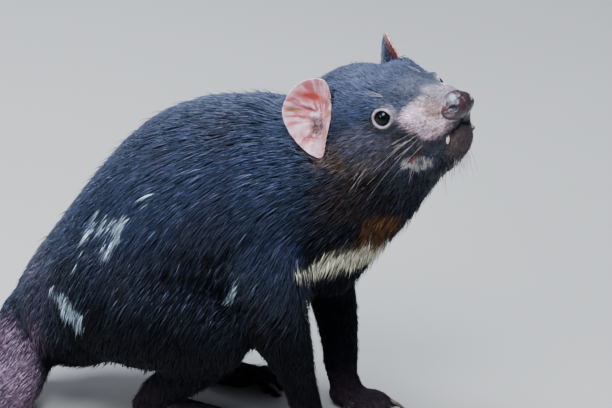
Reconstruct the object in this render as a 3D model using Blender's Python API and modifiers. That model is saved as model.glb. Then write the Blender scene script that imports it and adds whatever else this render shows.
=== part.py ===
"""A life-size Tasmanian devil, sitting on its haunches with its head raised and turned to its right.

Metres, +Z up. The body faces +X and its left side is +Y. The flesh is modelled whole from lofted
sections and rounded masses, fused into one surface, and then parted by thin plane cuts into the
named parts of the animal. The outer surface is the outside of the coat.
"""

import math

import bmesh
import bpy
import numpy as np
from mathutils import Matrix, Vector
from mathutils.bvhtree import BVHTree

MM = 0.001
GAP = 0.3 * MM

# Sizes of the fused surface: coarse voxels blend the big muscles, fine ones keep toes and lips.
TRUNK_VOXEL = 4.0 * MM
TRUNK_BLEND = 10
SKIN_VOXEL = 1.7 * MM
SKIN_BLEND = 4
SKIN_TRIANGLES = 6900
PLAIN_WEIGHT = 1.0
FINE_WEIGHT = 0.3
FINE_PULL = 2.0e-5

# Head: its place, and where it points. Heading is measured from +X towards +Y.
EYE_LINE = Vector((95, -27, 302)) * MM
EYE_DROP = 2.9 * MM
HEAD_HEADING = math.radians(-29.3)
HEAD_PITCH = math.radians(12.6)
HEAD_ROLL = math.radians(12.5)
EYE_SPREAD = 33.0 * MM
EYEBALL_RADIUS = 8.0 * MM
EYE_STANDS_OUT = 1.0 * MM
EYE_AXIS = Vector((0.58, 0.78, 0.22)).normalized()
LID_RADIUS = 7.2 * MM
LID_THICKNESS = 1.8 * MM
LID_FORWARD = 5.7 * MM

EAR_ROOT = Vector((-59, 49, 2)) * MM
EAR_OUT = Vector((-0.80, 0.50, 0.42)).normalized()
EAR_FACE = Vector((0.62, 0.76, 0.14)).normalized()
EAR_REACH = 26.5 * MM
EAR_INNER_SHARE = 0.45
EAR_LOWER_REACH = 0.78
EAR_LEAN = 8.0 * MM
EAR_HALF_HEIGHT = 31.0 * MM
EAR_CUP = 12.0 * MM
EAR_THICKNESS = 2.6 * MM
EAR_FOLD = 2.0 * MM

NOSE_CENTRE = (51, 0, -4.7)
NOSE_SIZE = (10.0, 14.0, 9.8)
NOSTRIL = (57.5, 9.6, -2.5)
NOSTRIL_TAIL = (51.5, 13.6, -3.0)

LIP_LINE = [
    (47.5, 0, -20.5), (47, 7, -22), (46.5, 12, -24.5), (43, 17, -26.5), (33.5, 22, -29.6),
    (24, 25, -33.5), (15.7, 27, -37), (9, 29, -40.7),
]
LIP_GROOVE = 1.0
UPPER_LIP = [
    (42, 3, -15, 4.5), (42, 9, -18.5, 5.0), (38.5, 13.5, -20.5, 5.2), (30, 17, -23.5, 5.4),
    (20, 20.5, -28, 5.2), (10, 23.5, -33.5, 4.4),
]
CANINE_TOP = Vector((41.5, 11.5, -21)) * MM
CANINE_TIP = Vector((43.4, 16.0, -31.5)) * MM
CANINE_RADIUS = 1.8 * MM

# Trunk and limbs. Stations are (x, y, z, half width, half depth) in millimetres.
TORSO = [
    (-226, -24, 60, 38, 38), (-206, -20, 74, 60, 52), (-168, -12, 104, 71, 66), (-122, -4, 142, 75, 82),
    (-76, 0, 176, 75, 92), (-32, 0, 195, 71, 86), (6, 0, 212, 62, 76), (36, -4, 236, 52, 62),
]
NECK = [(8, 0, 214, 54, 66), (34, -2, 246, 50, 58), (54, -8, 268, 46, 52)]
BREAST = [
    (16, 0, 146, 44, 33), (38, -2, 172, 42, 30), (56, -6, 194, 40, 28), (78, -14, 228, 36, 30),
    (96, -22, 252, 30, 28),
]
TAIL = [
    (-222, -20, 70, 36, 34), (-232, -34, 58, 31, 31), (-233, -54, 41, 28, 28), (-232, -76, 27, 26, 26),
    (-236, -102, 22, 24, 23), (-250, -132, 18.5, 21, 20), (-273, -160, 14.5, 17, 16),
    (-300, -182, 10.5, 12.5, 12), (-326, -197, 6.5, 8, 8),
]

# Each leg's side and how its joints are placed. Toes are (degrees from the foot's heading, length).
LEG_PLANS = {
    "right": {"side": -1, "reach": 0, "shift": 14, "lean": 1, "brawn": 7, "turned_in": 4},
    "left": {"side": 1, "reach": 4, "shift": 6, "lean": 5, "brawn": 0, "turned_in": 30},
}
THIGH_OFFSET = -14
REST_LEVEL = 0.0
FOREFOOT_TOES = [(-52, 17), (-24, 25), (-4, 28), (16, 27), (38, 22)]
HINDFOOT_TOES = [(-24, 20), (-6, 24), (12, 24), (30, 20)]
TOE_RADIUS = 5.6
CLAW_LENGTH = 11.0
CLAW_RADIUS = 2.1

FINISHES = {
    "fur": {"colour": (0.022, 0.022, 0.028), "roughness": 0.75},
    "bare_skin": {"colour": (0.55, 0.27, 0.24), "roughness": 0.6},
    "nose_skin": {"colour": (0.10, 0.045, 0.045), "roughness": 0.3},
    "eye": {"colour": (0.008, 0.007, 0.009), "roughness": 0.05},
    "tooth": {"colour": (0.78, 0.72, 0.58), "roughness": 0.35},
    "claw": {"colour": (0.12, 0.09, 0.075), "roughness": 0.4},
}


def clear_scene():
    for obj in list(bpy.data.objects):
        bpy.data.objects.remove(obj)


def new_collection(name):
    collection = bpy.data.collections.new(name)
    bpy.context.scene.collection.children.link(collection)
    return collection


def give_finish(obj, kind):
    """Gives a node a material of its own, with the colour and gloss of its kind of surface."""
    finish = FINISHES[kind]
    material = bpy.data.materials.new(f"{kind}_{obj.name}")
    material.use_nodes = True
    shader = material.node_tree.nodes["Principled BSDF"]
    shader.inputs["Base Color"].default_value = (*finish["colour"], 1.0)
    shader.inputs["Roughness"].default_value = finish["roughness"]
    shader.inputs["Metallic"].default_value = 0.0
    obj.data.materials.clear()
    obj.data.materials.append(material)
    return obj


def object_from(name, mesh, collection):
    obj = bpy.data.objects.new(name, mesh)
    collection.objects.link(obj)
    if collection.hide_render:
        obj.display_type = "WIRE"
    return obj


def bake(obj):
    """Replaces the object's mesh with the one that its modifiers make."""
    graph = bpy.context.evaluated_depsgraph_get()
    mesh = bpy.data.meshes.new_from_object(obj.evaluated_get(graph))
    obj.modifiers.clear()
    obj.data = mesh
    return obj


def transformed(obj, matrix):
    obj.data.transform(matrix)
    return obj


# Paths and lofted limbs


def spline_rows(rows, per_span):
    """A smooth curve through rows of numbers, such as (x, y, z, half width, half height)."""
    points = np.array(rows, float)
    before = 2 * points[0] - points[1]
    after = 2 * points[-1] - points[-2]
    padded = np.vstack([before, points, after])
    made = []
    for i in range(len(points) - 1):
        a, b, c, d = padded[i : i + 4]
        for t in np.linspace(0, 1, per_span, endpoint=False):
            made.append(
                0.5 * (2 * b + (c - a) * t + (2 * a - 5 * b + 4 * c - d) * t**2
                       + (3 * b - a - 3 * c + d) * t**3)
            )
    made.append(points[-1])
    return np.array(made)


def rounded_ends(rows, steps=4):
    """Adds rings that close both ends of a limb like a dome."""
    ends = []
    for at, beyond in ((0, 1), (-1, -2)):
        centre, radii = rows[at, :3], rows[at, 3:]
        outward = centre - rows[beyond, :3]
        outward = outward / np.linalg.norm(outward)
        reach = radii.min()
        rings = []
        for i in range(1, steps + 1):
            angle = 0.5 * math.pi * i / (steps + 0.35)
            rings.append([*(centre + outward * reach * math.sin(angle)), *(radii * math.cos(angle))])
        ends.append(np.array(rings))
    return np.vstack([ends[0][::-1], rows, ends[1]])


def limb(name, stations, collection, depth_axis=(0, 0, 1), per_span=6, sides=28, squareness=2.0):
    """A closed loft through stations (x, y, z, half width, half depth), all in millimetres.

    Half depth is measured along depth_axis, and half width square to it and to the path.
    """
    rows = rounded_ends(spline_rows(stations, per_span)) * MM
    centres = rows[:, :3]
    tangents = np.gradient(centres, axis=0)
    tangents /= np.linalg.norm(tangents, axis=1)[:, None]
    shape = bmesh.new()
    rings = []
    for centre, tangent, (half_width, half_depth) in zip(centres, tangents, rows[:, 3:]):
        deep = np.array(depth_axis, float)
        deep -= tangent * (deep @ tangent)
        deep /= np.linalg.norm(deep)
        side = np.cross(deep, tangent)
        ring = []
        for k in range(sides):
            angle = 2 * math.pi * k / sides
            c, s = math.cos(angle), math.sin(angle)
            across = math.copysign(abs(c) ** (2 / squareness), c) * half_width
            along = math.copysign(abs(s) ** (2 / squareness), s) * half_depth
            ring.append(shape.verts.new(centre + side * across + deep * along))
        rings.append(ring)
    for near, far in zip(rings, rings[1:]):
        for k in range(sides):
            following = (k + 1) % sides
            shape.faces.new((near[k], near[following], far[following], far[k]))
    shape.faces.new(list(reversed(rings[0])))
    shape.faces.new(rings[-1])
    bmesh.ops.recalc_face_normals(shape, faces=shape.faces)
    mesh = bpy.data.meshes.new(name)
    shape.to_mesh(mesh)
    shape.free()
    return object_from(name, mesh, collection)


def mass(name, centre, radii, collection, turn=(0, 0, 0), segments=28):
    """An ellipsoid. Centre and radii in millimetres, turn in degrees about X, Y and Z."""
    shape = bmesh.new()
    bmesh.ops.create_uvsphere(shape, u_segments=segments, v_segments=segments // 2, radius=1.0)
    mesh = bpy.data.meshes.new(name)
    shape.to_mesh(mesh)
    shape.free()
    rotation = Matrix.Identity(4)
    for angle, axis in zip(turn, "XYZ"):
        rotation = Matrix.Rotation(math.radians(angle), 4, axis) @ rotation
    scale = Matrix.Diagonal((*(Vector(radii) * MM), 1.0))
    mesh.transform(Matrix.Translation(Vector(centre) * MM) @ rotation @ scale)
    return object_from(name, mesh, collection)


def joined(name, pieces, collection):
    """One object that holds all the pieces' meshes, still overlapping."""
    shape = bmesh.new()
    for piece in pieces:
        shape.from_mesh(piece.data)
        bpy.data.objects.remove(piece)
    mesh = bpy.data.meshes.new(name)
    shape.to_mesh(mesh)
    shape.free()
    return object_from(name, mesh, collection)


def fused(name, pieces, collection, voxel, blend):
    """The pieces melted into one surface, with their meeting lines smoothed."""
    body = joined(name, pieces, collection)
    remesh = body.modifiers.new("Fuse", "REMESH")
    remesh.mode = "VOXEL"
    remesh.voxel_size = voxel
    smooth = body.modifiers.new("Blend", "SMOOTH")
    smooth.factor = 0.5
    smooth.iterations = blend
    return bake(body)


def combine(obj, other, operation):
    """A Boolean of obj with another closed object, applied. The other object is removed."""
    modifier = obj.modifiers.new(operation.title(), "BOOLEAN")
    modifier.operation = operation
    modifier.solver = "MANIFOLD"
    modifier.object = other
    bpy.context.view_layer.update()
    bake(obj)
    bpy.data.objects.remove(other)
    return obj


def largest_body(obj):
    """Keeps only the largest closed surface of the mesh."""
    shape = bmesh.new()
    shape.from_mesh(obj.data)
    left = set(shape.verts)
    groups = []
    while left:
        stack = [left.pop()]
        group = []
        while stack:
            vert = stack.pop()
            group.append(vert)
            for edge in vert.link_edges:
                other = edge.other_vert(vert)
                if other in left:
                    left.remove(other)
                    stack.append(other)
        groups.append(group)
    groups.sort(key=len)
    for group in groups[:-1]:
        bmesh.ops.delete(shape, geom=group, context="VERTS")
    shape.to_mesh(obj.data)
    shape.free()
    return obj


def grown(obj, distance, collection):
    """A copy of the object with its surface moved outwards."""
    copy = object_from(obj.name + "_grown", obj.data.copy(), collection)
    displace = copy.modifiers.new("Grow", "DISPLACE")
    displace.strength = distance
    displace.mid_level = 0.0
    return bake(copy)


# Head


def head_matrix():
    """From the head's own frame (x to the nose, y to its left, z up, origin between the eyes)."""
    turn = (
        Matrix.Rotation(HEAD_HEADING, 4, "Z")
        @ Matrix.Rotation(-HEAD_PITCH, 4, "Y")
        @ Matrix.Rotation(HEAD_ROLL, 4, "X")
    )
    return Matrix.Translation(EYE_LINE) @ turn


def mirrored(vector, side):
    return Vector((vector[0], vector[1] * side, vector[2]))


def profile_loft(name, sections, collection, sides=36):
    """A loft along x. Each section is (x, top, bottom, half width, squareness) in millimetres."""
    shape = bmesh.new()
    rings = []
    for x, top, bottom, half_width, squareness in sections:
        middle, half_height = (top + bottom) / 2, (top - bottom) / 2
        ring = []
        for k in range(sides):
            angle = 2 * math.pi * k / sides
            c, s = math.cos(angle), math.sin(angle)
            y = math.copysign(abs(c) ** (2 / squareness), c) * half_width
            z = middle + math.copysign(abs(s) ** (2 / squareness), s) * half_height
            ring.append(shape.verts.new(Vector((x, y, z)) * MM))
        rings.append(ring)
    for near, far in zip(rings, rings[1:]):
        for k in range(sides):
            following = (k + 1) % sides
            shape.faces.new((near[k], near[following], far[following], far[k]))
    shape.faces.new(rings[0])
    shape.faces.new(list(reversed(rings[-1])))
    bmesh.ops.recalc_face_normals(shape, faces=shape.faces)
    mesh = bpy.data.meshes.new(name)
    shape.to_mesh(mesh)
    shape.free()
    return object_from(name, mesh, collection)


def make_skull(collection):
    """The head's flesh in its own frame: cranium and upper jaw, lower jaw, cheeks, brows and lips."""
    cranium = [
        (55, 3, -14, 8, 2.0), (51, 6, -18, 13, 2.1), (44, 7, -24, 17.5, 2.2), (34, 8, -29, 22, 2.3),
        (20, 10, -34, 26.5, 2.3), (6, 13, -38, 30, 2.3), (-8, 16, -42, 37, 2.2), (-26, 19, -46, 48, 2.2),
        (-46, 19.5, -50, 55, 2.2), (-64, 13.5, -52, 56, 2.1), (-82, 5, -50, 49, 2.1), (-96, -4, -42, 34, 2.0),
        (-104, -11, -30, 18, 2.0),
    ]
    jaw = [
        (49, -23, -32, 8, 2.0), (46, -21, -41, 13, 2.1), (39, -21, -49, 17.5, 2.2), (27, -24, -57, 22, 2.2),
        (14, -28, -65, 27, 2.2), (-6, -30, -70, 34, 2.2), (-26, -32, -72, 42, 2.2), (-46, -34, -72, 44, 2.2),
        (-68, -36, -68, 38, 2.1), (-84, -40, -58, 22, 2.0),
    ]
    broad = [
        profile_loft("cranium", cranium, collection),
        profile_loft("jaw", jaw, collection),
    ]
    fine = []
    for side in (-1, 1):
        broad.append(mass("cheek", (-36, 36 * side, -28), (38, 18, 27), collection, turn=(0, 0, -8 * side)))
        broad.append(mass("ear_mound", (-48, 40 * side, 6), (14, 9, 13), collection))
        fine += [
            limb("lip", [(x, y * side, z, r, r) for x, y, z, r in UPPER_LIP], collection, sides=16),
            mass("whisker_pad", (33, 13 * side, -13), (16, 8.5, 10), collection, turn=(0, 8, -16 * side)),
            mass("eye_pad", (-2, 25.5 * side, -2.5), (13, 6.5, 11), collection, turn=(0, 0, -32 * side)),
        ]
    return broad, fine


def eye_frame(side):
    """Centre of the eyeball and the way it looks, in the head's frame."""
    axis = mirrored(EYE_AXIS, side)
    front = Vector((0, EYE_SPREAD * side, -EYE_DROP))
    return front - axis * (EYEBALL_RADIUS - EYE_STANDS_OUT), axis


def ring_matrix(centre, axis):
    return Matrix.Translation(centre) @ axis.to_track_quat("Z", "Y").to_matrix().to_4x4()


def make_ball(name, centre, radius, collection, segments=18):
    shape = bmesh.new()
    bmesh.ops.create_uvsphere(shape, u_segments=segments, v_segments=segments // 2, radius=radius)
    mesh = bpy.data.meshes.new(name)
    shape.to_mesh(mesh)
    shape.free()
    mesh.transform(Matrix.Translation(centre))
    return object_from(name, mesh, collection)


def make_torus(name, matrix, major, minor, collection, rounds=28, sides=8):
    """A ring round the z axis of the matrix."""
    shape = bmesh.new()
    rings = []
    for i in range(rounds):
        turn = 2 * math.pi * i / rounds
        ring = []
        for k in range(sides):
            angle = 2 * math.pi * k / sides
            reach = major + minor * math.cos(angle)
            place = (reach * math.cos(turn), reach * math.sin(turn), minor * math.sin(angle))
            ring.append(shape.verts.new(place))
        rings.append(ring)
    for i, near in enumerate(rings):
        far = rings[(i + 1) % rounds]
        for k in range(sides):
            following = (k + 1) % sides
            shape.faces.new((near[k], far[k], far[following], near[following]))
    bmesh.ops.recalc_face_normals(shape, faces=shape.faces)
    mesh = bpy.data.meshes.new(name)
    shape.to_mesh(mesh)
    shape.free()
    mesh.transform(matrix)
    return object_from(name, mesh, collection)


def rod(name, points, radius, collection, sides=8):
    """A closed bent rod through points, all in millimetres."""
    return limb(name, [(*point, radius, radius) for point in points], collection, per_span=2, sides=sides)


def ear_grid(side, spread, rings=5, spokes=26):
    """Rows of points of the cupped ear, from its hub to its rim, and the way that it faces."""
    out = mirrored(EAR_OUT, side)
    face = mirrored(EAR_FACE, side)
    face = (face - out * face.dot(out)).normalized()
    up = out.cross(face)
    if up.z < 0:
        up = -up
    root = mirrored(EAR_ROOT, side)
    grid = []
    for i in range(rings + 1):
        share = 0.2 + 0.8 * i / rings
        row = []
        for k in range(spokes):
            angle = 2 * math.pi * k / spokes
            c, s = math.cos(angle), math.sin(angle)
            narrowing = 1.0 if s > 0 else 1.0 + (1.0 - EAR_LOWER_REACH) * s
            reach = (EAR_REACH * narrowing + spread) * (1.0 if c > 0 else EAR_INNER_SHARE)
            across = reach * c - EAR_LEAN * min(s, 0) ** 2
            along = (EAR_HALF_HEIGHT + spread) * s
            depth = EAR_CUP * (share**2 - 1.0) - EAR_FOLD * math.sin(math.pi * share) * (1 - s)
            row.append(root + out * across * share + up * along * share + face * depth)
        grid.append(row)
    return grid, root - face * EAR_CUP, face


def cap_of(rows, hub):
    """A cap of faces from a hub point outwards through rows of points, and its last row."""
    shape = bmesh.new()
    grid = [[shape.verts.new(point) for point in row] for row in rows]
    centre = shape.verts.new(hub)
    count = len(rows[0])
    for k in range(count):
        following = (k + 1) % count
        shape.faces.new((centre, grid[0][k], grid[0][following]))
        for near, far in zip(grid, grid[1:]):
            shape.faces.new((near[k], far[k], far[following], near[following]))
    return shape, grid[-1]


def finished_mesh(name, shape, collection):
    bmesh.ops.recalc_face_normals(shape, faces=shape.faces)
    mesh = bpy.data.meshes.new(name)
    shape.to_mesh(mesh)
    shape.free()
    return object_from(name, mesh, collection)


def make_ear(name, side, collection, thickness, spread=0.0):
    """A cupped leaf, round at its rim, whose root is sunk in the side of the head."""
    rows, hub, _ = ear_grid(side, spread)
    shape, _ = cap_of(rows, hub)
    ear = finished_mesh(name, shape, collection)
    solidify = ear.modifiers.new("Thickness", "SOLIDIFY")
    solidify.thickness = thickness
    solidify.offset = 0.0
    return bake(ear)


def make_ear_well(side, collection):
    """What has to be open in front of the ear, so that its cup shows down to the root."""
    rows, hub, face = ear_grid(side, 0.0)
    shape, rim = cap_of(rows, hub)
    mouth = [shape.verts.new(vert.co + face * 30 * MM) for vert in rim]
    for k in range(len(rim)):
        following = (k + 1) % len(rim)
        shape.faces.new((rim[k], mouth[k], mouth[following], rim[following]))
    shape.faces.new(mouth)
    return finished_mesh("ear_well", shape, collection)


def make_cone(name, foot, tip, radius, tip_radius, collection, sides=8):
    """A closed tapering spike from foot to tip."""
    axis = tip - foot
    shape = bmesh.new()
    bmesh.ops.create_cone(
        shape, cap_ends=True, segments=sides, radius1=radius, radius2=tip_radius, depth=axis.length
    )
    mesh = bpy.data.meshes.new(name)
    shape.to_mesh(mesh)
    shape.free()
    mesh.transform(ring_matrix((foot + tip) / 2, axis.normalized()))
    return object_from(name, mesh, collection)


def foreleg(side, reach, lean, brawn):
    """Upper arm to wrist. Reach moves the foot along the floor, lean the elbow, and brawn widens the arm."""
    return [
        (-14, 44 * side, 182, 22, 36), (-14 + 0.3 * lean, 52 * side, 148, 24, 32 + 0.35 * brawn),
        (-8 + 0.2 * reach + lean, 54 * side, 112, 20, 25 + brawn),
        (1 + 0.5 * reach + lean, 48 * side, 82, 16, 20 + 0.4 * brawn),
        (8 + 0.8 * reach + 0.6 * lean, 42 * side, 55, 13.5, 16.5 - 0.2 * brawn),
        (14 + reach, 37 * side, 28, 12, 13.5 - 0.1 * brawn), (20 + reach, 36 * side, 14, 13, 12),
    ]


def thigh(side, shift, offset):
    """Hip to knee."""
    return [
        (-178, (38 * side) + offset, 112, 32, 50), (-126, (54 * side) + offset * 0.5, 98, 30, 46),
        (-84 + shift, 62 * side, 92, 24, 36), (-60 + shift, 62 * side, 88, 19, 25),
    ]


def shank(side, shift):
    """Knee to heel."""
    return [
        (-62 + shift, 61 * side, 82, 17, 20), (-92 + shift, 53 * side, 54, 15, 19),
        (-126 + shift, 42 * side, 26, 12.5, 15), (-138 + shift, 39 * side, 13, 12, 12),
    ]


def toe(place, heading, length, collection):
    """One toe from its knuckle down to the floor, and the root and tip of its claw."""
    along = Vector((math.cos(heading), math.sin(heading), 0))
    knuckle = Vector((*place, 10.0))
    bend = knuckle + along * length * 0.55 + Vector((0, 0, 0.5))
    tip = knuckle + along * length - Vector((0, 0, 5.5))
    stations = [
        (*knuckle, TOE_RADIUS + 0.8, TOE_RADIUS + 0.8), (*bend, TOE_RADIUS, TOE_RADIUS),
        (*tip, TOE_RADIUS - 0.6, TOE_RADIUS - 0.6),
    ]
    flesh = limb("toe", stations, collection, per_span=4, sides=16)
    root = (tip + along * 1.5 + Vector((0, 0, 1.5))) * MM
    point = (tip + along * (3.0 + CLAW_LENGTH) - Vector((0, 0, 4.6))) * MM
    return flesh, root, point


def make_foot(centre, heading_deg, toes, sole, collection):
    """Sole, toes and the places of the claws. Toes are (degrees from the foot's heading, length)."""
    heading = math.radians(heading_deg)
    forward = Vector((math.cos(heading), math.sin(heading)))
    pieces = [limb("sole", sole, collection, sides=20)]
    claws = []
    for turn, length in toes:
        angle = heading + math.radians(turn)
        out = Vector((math.cos(angle), math.sin(angle)))
        place = Vector(centre) + forward * 2.0 + out * 8.0
        flesh, root, point = toe(place, angle, length, collection)
        pieces.append(flesh)
        claws.append((root, point))
    return pieces, claws


def forefoot(side, reach, turned_in, collection):
    """A forefoot that is turned in by so many degrees from straight ahead."""
    x, y = 24 + reach, 36 * side
    heading = math.radians(-turned_in * side)
    across = math.sin(heading)
    sole = [
        (x - 8, y, 10.5, 12.5, 12), (x + 3, y + 3 * across, 8, 15, 9.5),
        (x + 12 * math.cos(heading), y + 12 * across, 6.5, 14, 7.5),
    ]
    toes = [(turn * side, length) for turn, length in FOREFOOT_TOES]
    return make_foot((x, y), -turned_in * side, toes, sole, collection)


def hindfoot(side, shift, collection):
    heel_x, heel_y = -138 + shift, 38 * side
    toe_x, toe_y = -82 + shift, 43 * side
    middle = ((heel_x + toe_x) / 2, (heel_y + toe_y) / 2)
    sole = [
        (heel_x - 3, heel_y, 10, 11.5, 12), (*middle, 9, 12.5, 11), (toe_x + 4, toe_y, 8, 15, 10),
    ]
    heading = math.degrees(math.atan2(toe_y - heel_y, toe_x - heel_x))
    toes = [(turn * side, length) for turn, length in HINDFOOT_TOES]
    return make_foot((toe_x + 2, toe_y), heading, toes, sole, collection)


# Details cut into or set on the flesh


def surface_tree(obj):
    shape = bmesh.new()
    shape.from_mesh(obj.data)
    tree = BVHTree.FromBMesh(shape)
    shape.free()
    return tree


def lip_groove(head, to_world, collection):
    """A bent rod that follows the line of the mouth along the surface."""
    tree = surface_tree(head)
    right = [(x, -y, z) for x, y, z in reversed(LIP_LINE[1:])]
    line = []
    for x, y, z in spline_rows(right + LIP_LINE, 2):
        inner = to_world @ (Vector((x - 18, y * 0.35, z)) * MM)
        outer = to_world @ (Vector((x, y, z)) * MM)
        found = tree.ray_cast(inner, (outer - inner).normalized())[0]
        line.append((found if found is not None else outer) / MM)
    return rod("lip_groove", line, LIP_GROOVE, collection)


def add_eyes(head, to_world, animal, workshop):
    """Lids raised round each eye, an opening between them, and the eyeball as a node behind it."""
    for name, side in (("eye_right", -1), ("eye_left", 1)):
        centre, axis = eye_frame(side)
        brim = to_world @ ring_matrix(centre + axis * LID_FORWARD, axis)
        lids = make_torus("lids", brim, LID_RADIUS, LID_THICKNESS, workshop)
        combine(head, lids, "UNION")
        socket = make_ball("socket", to_world @ centre, EYEBALL_RADIUS + GAP, workshop)
        combine(head, socket, "DIFFERENCE")
        opening = LID_RADIUS - 0.75 * LID_THICKNESS
        tunnel = make_cone(
            "tunnel", to_world @ centre, to_world @ (centre + axis * 16 * MM), opening, opening + 1.0 * MM,
            workshop, sides=20,
        )
        combine(head, tunnel, "DIFFERENCE")
        give_finish(make_ball(name, to_world @ centre, EYEBALL_RADIUS, animal), "eye")


def add_nose(head, to_world, animal, workshop):
    """The wet pad of the nose with its two nostrils, set in the end of the muzzle."""
    pad = fused(
        "nose",
        [
            mass("pad", NOSE_CENTRE, NOSE_SIZE, workshop),
            mass("pad_ridge", (NOSE_CENTRE[0] - 2, 0, NOSE_CENTRE[2] + 3), (9, 11, 8), workshop),
            mass("wing", (50, 9, -6), (8, 5.6, 6), workshop),
            mass("wing", (50, -9, -6), (8, 5.6, 6), workshop),
        ],
        animal, 1.0 * MM, 3,
    )
    simplify(pad, 320)
    for side in (-1, 1):
        start, end = mirrored(NOSTRIL, side), mirrored(NOSTRIL_TAIL, side)
        hole = mass("nostril", start, (4.0, 2.3, 2.6), workshop, turn=(0, 0, -40 * side), segments=14)
        combine(pad, hole, "DIFFERENCE")
        combine(pad, rod("nostril_tail", [start, end], 1.0, workshop, sides=6), "DIFFERENCE")
    give_finish(transformed(pad, to_world), "nose_skin")
    combine(head, grown(pad, GAP, workshop), "DIFFERENCE")


def add_canines(head, to_world, animal, workshop):
    for name, side in (("canine_right", -1), ("canine_left", 1)):
        top, tip = to_world @ mirrored(CANINE_TOP, side), to_world @ mirrored(CANINE_TIP, side)
        along = (tip - top).normalized()
        tooth = make_cone(name, top, tip, CANINE_RADIUS, 0.5 * MM, animal, sides=12)
        hole = make_cone(
            "hole", top - along * GAP, tip + along * GAP, CANINE_RADIUS + GAP, 0.9 * MM, workshop, sides=12
        )
        combine(head, hole, "DIFFERENCE")
        give_finish(tooth, "tooth")


def add_ears(hosts, to_world, animal, workshop):
    for name, side in (("ear_right", -1), ("ear_left", 1)):
        ear = transformed(make_ear(name, side, animal, EAR_THICKNESS), to_world)
        slot = transformed(make_ear("slot", side, workshop, EAR_THICKNESS + 4 * GAP, 2 * GAP), to_world)
        well = transformed(make_ear_well(side, workshop), to_world)
        for host in hosts:
            for cutter in (slot, well):
                combine(host, object_from("ear_cut", cutter.data.copy(), workshop), "DIFFERENCE")
            largest_body(host)
        bpy.data.objects.remove(slot)
        bpy.data.objects.remove(well)
        give_finish(ear, "bare_skin")


def add_claws(foot, claws, collection):
    for root, point in claws:
        along = (point - root).normalized()
        foot_of_claw = root - along * 3 * MM
        claw = make_cone("claw", foot_of_claw, point, CLAW_RADIUS * MM, 0.5 * MM, collection, sides=7)
        combine(foot, claw, "UNION")
    return foot


# Parting the whole animal into its named parts


def box_region(name, low, high, margin, matrix, collection):
    """A box from one corner to the other, in millimetres, widened by margin and placed by matrix."""
    shape = bmesh.new()
    bmesh.ops.create_cube(shape, size=1.0)
    mesh = bpy.data.meshes.new(name)
    shape.to_mesh(mesh)
    shape.free()
    low, high = Vector(low) * MM, Vector(high) * MM
    spread = Vector((margin, margin, margin)) * 2
    mesh.transform(Matrix.Translation((low + high) / 2) @ Matrix.Diagonal((*(high - low + spread), 1.0)))
    mesh.transform(matrix)
    return object_from(name, mesh, collection)


def part_off(rest, name, place, low, high, animal, workshop):
    """Cuts what lies in a box off the rest as a node of its own, with a thin gap between."""
    node = object_from(name, rest.data.copy(), animal)
    combine(node, box_region("inside", low, high, 0.0, place, workshop), "INTERSECT")
    combine(rest, box_region("outside", low, high, GAP, place, workshop), "DIFFERENCE")
    largest_body(rest)
    return give_finish(largest_body(node), "fur")


def placed(point, about_x=0.0, about_y=0.0, about_z=0.0):
    """A frame at a point in millimetres, turned by degrees about X, then Y, then Z."""
    turn = Matrix.Rotation(math.radians(about_x), 4, "X")
    turn = Matrix.Rotation(math.radians(about_y), 4, "Y") @ turn
    turn = Matrix.Rotation(math.radians(about_z), 4, "Z") @ turn
    return Matrix.Translation(Vector(point) * MM) @ turn


def flatten_below(obj, level, collection):
    """Cuts away what lies below the level, so that the part rests on a flat."""
    floor = box_region("floor", (-700, -700, -80), (700, 700, level), 0.0, Matrix.Identity(4), collection)
    return combine(obj, floor, "DIFFERENCE")


def simplify(obj, triangles, group=None):
    """Collapses edges until about so many triangles are left."""
    count = sum(len(face.vertices) - 2 for face in obj.data.polygons)
    modifier = obj.modifiers.new("Simplify", "DECIMATE")
    modifier.ratio = min(1.0, triangles / count)
    if group is not None:
        modifier.vertex_group = group
        modifier.vertex_group_factor = FINE_PULL
    return bake(obj)


def weigh_for_simplifying(obj, fine_zones):
    """Gives the zones that need small faces a low weight, so that they keep more of them."""
    group = obj.vertex_groups.new(name="simplify")
    co = np.empty(len(obj.data.vertices) * 3, np.float32)
    obj.data.vertices.foreach_get("co", co)
    co = co.reshape(-1, 3)
    fine = np.zeros(len(co), bool)
    for centre, radius in fine_zones:
        fine |= np.linalg.norm(co - np.array(centre), axis=1) < radius
    group.add([int(i) for i in np.flatnonzero(fine)], FINE_WEIGHT, "REPLACE")
    group.add([int(i) for i in np.flatnonzero(~fine)], PLAIN_WEIGHT, "REPLACE")
    return group.name


def model_flesh(to_world, workshop):
    """The whole animal as one closed surface, and the places of its claws."""
    skull_broad, skull_fine = make_skull(workshop)
    trunk_pieces = [
        limb("torso", TORSO, workshop, per_span=7, sides=40),
        limb("neck", NECK, workshop, sides=36),
        limb("breast", BREAST, workshop, sides=32),
        *[transformed(piece, to_world) for piece in skull_broad],
    ]
    fine_pieces = [limb("tail", TAIL, workshop, per_span=6, sides=28)]
    fine_pieces += [transformed(piece, to_world) for piece in skull_fine]
    claws = {}
    for name, plan in LEG_PLANS.items():
        side, reach, shift = plan["side"], plan["reach"], plan["shift"]
        arm = foreleg(side, reach, plan["lean"], plan["brawn"])
        trunk_pieces.append(limb("foreleg", arm, workshop, depth_axis=(1, 0, 0)))
        trunk_pieces.append(limb("thigh", thigh(side, shift, THIGH_OFFSET), workshop))
        fine_pieces.append(limb("shank", shank(side, shift), workshop, depth_axis=(1, 0, 0)))
        fine_pieces.append(limb("forearm", arm[3:], workshop, depth_axis=(1, 0, 0)))
        pieces, claws["forefoot_" + name] = forefoot(side, reach, plan["turned_in"], workshop)
        fine_pieces += pieces
        pieces, claws["hindfoot_" + name] = hindfoot(side, shift, workshop)
        fine_pieces += pieces
    trunk = fused("trunk", trunk_pieces, workshop, TRUNK_VOXEL, TRUNK_BLEND)
    flesh = fused("torso", [trunk, *fine_pieces], workshop, SKIN_VOXEL, SKIN_BLEND)
    return flesh, claws


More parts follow.
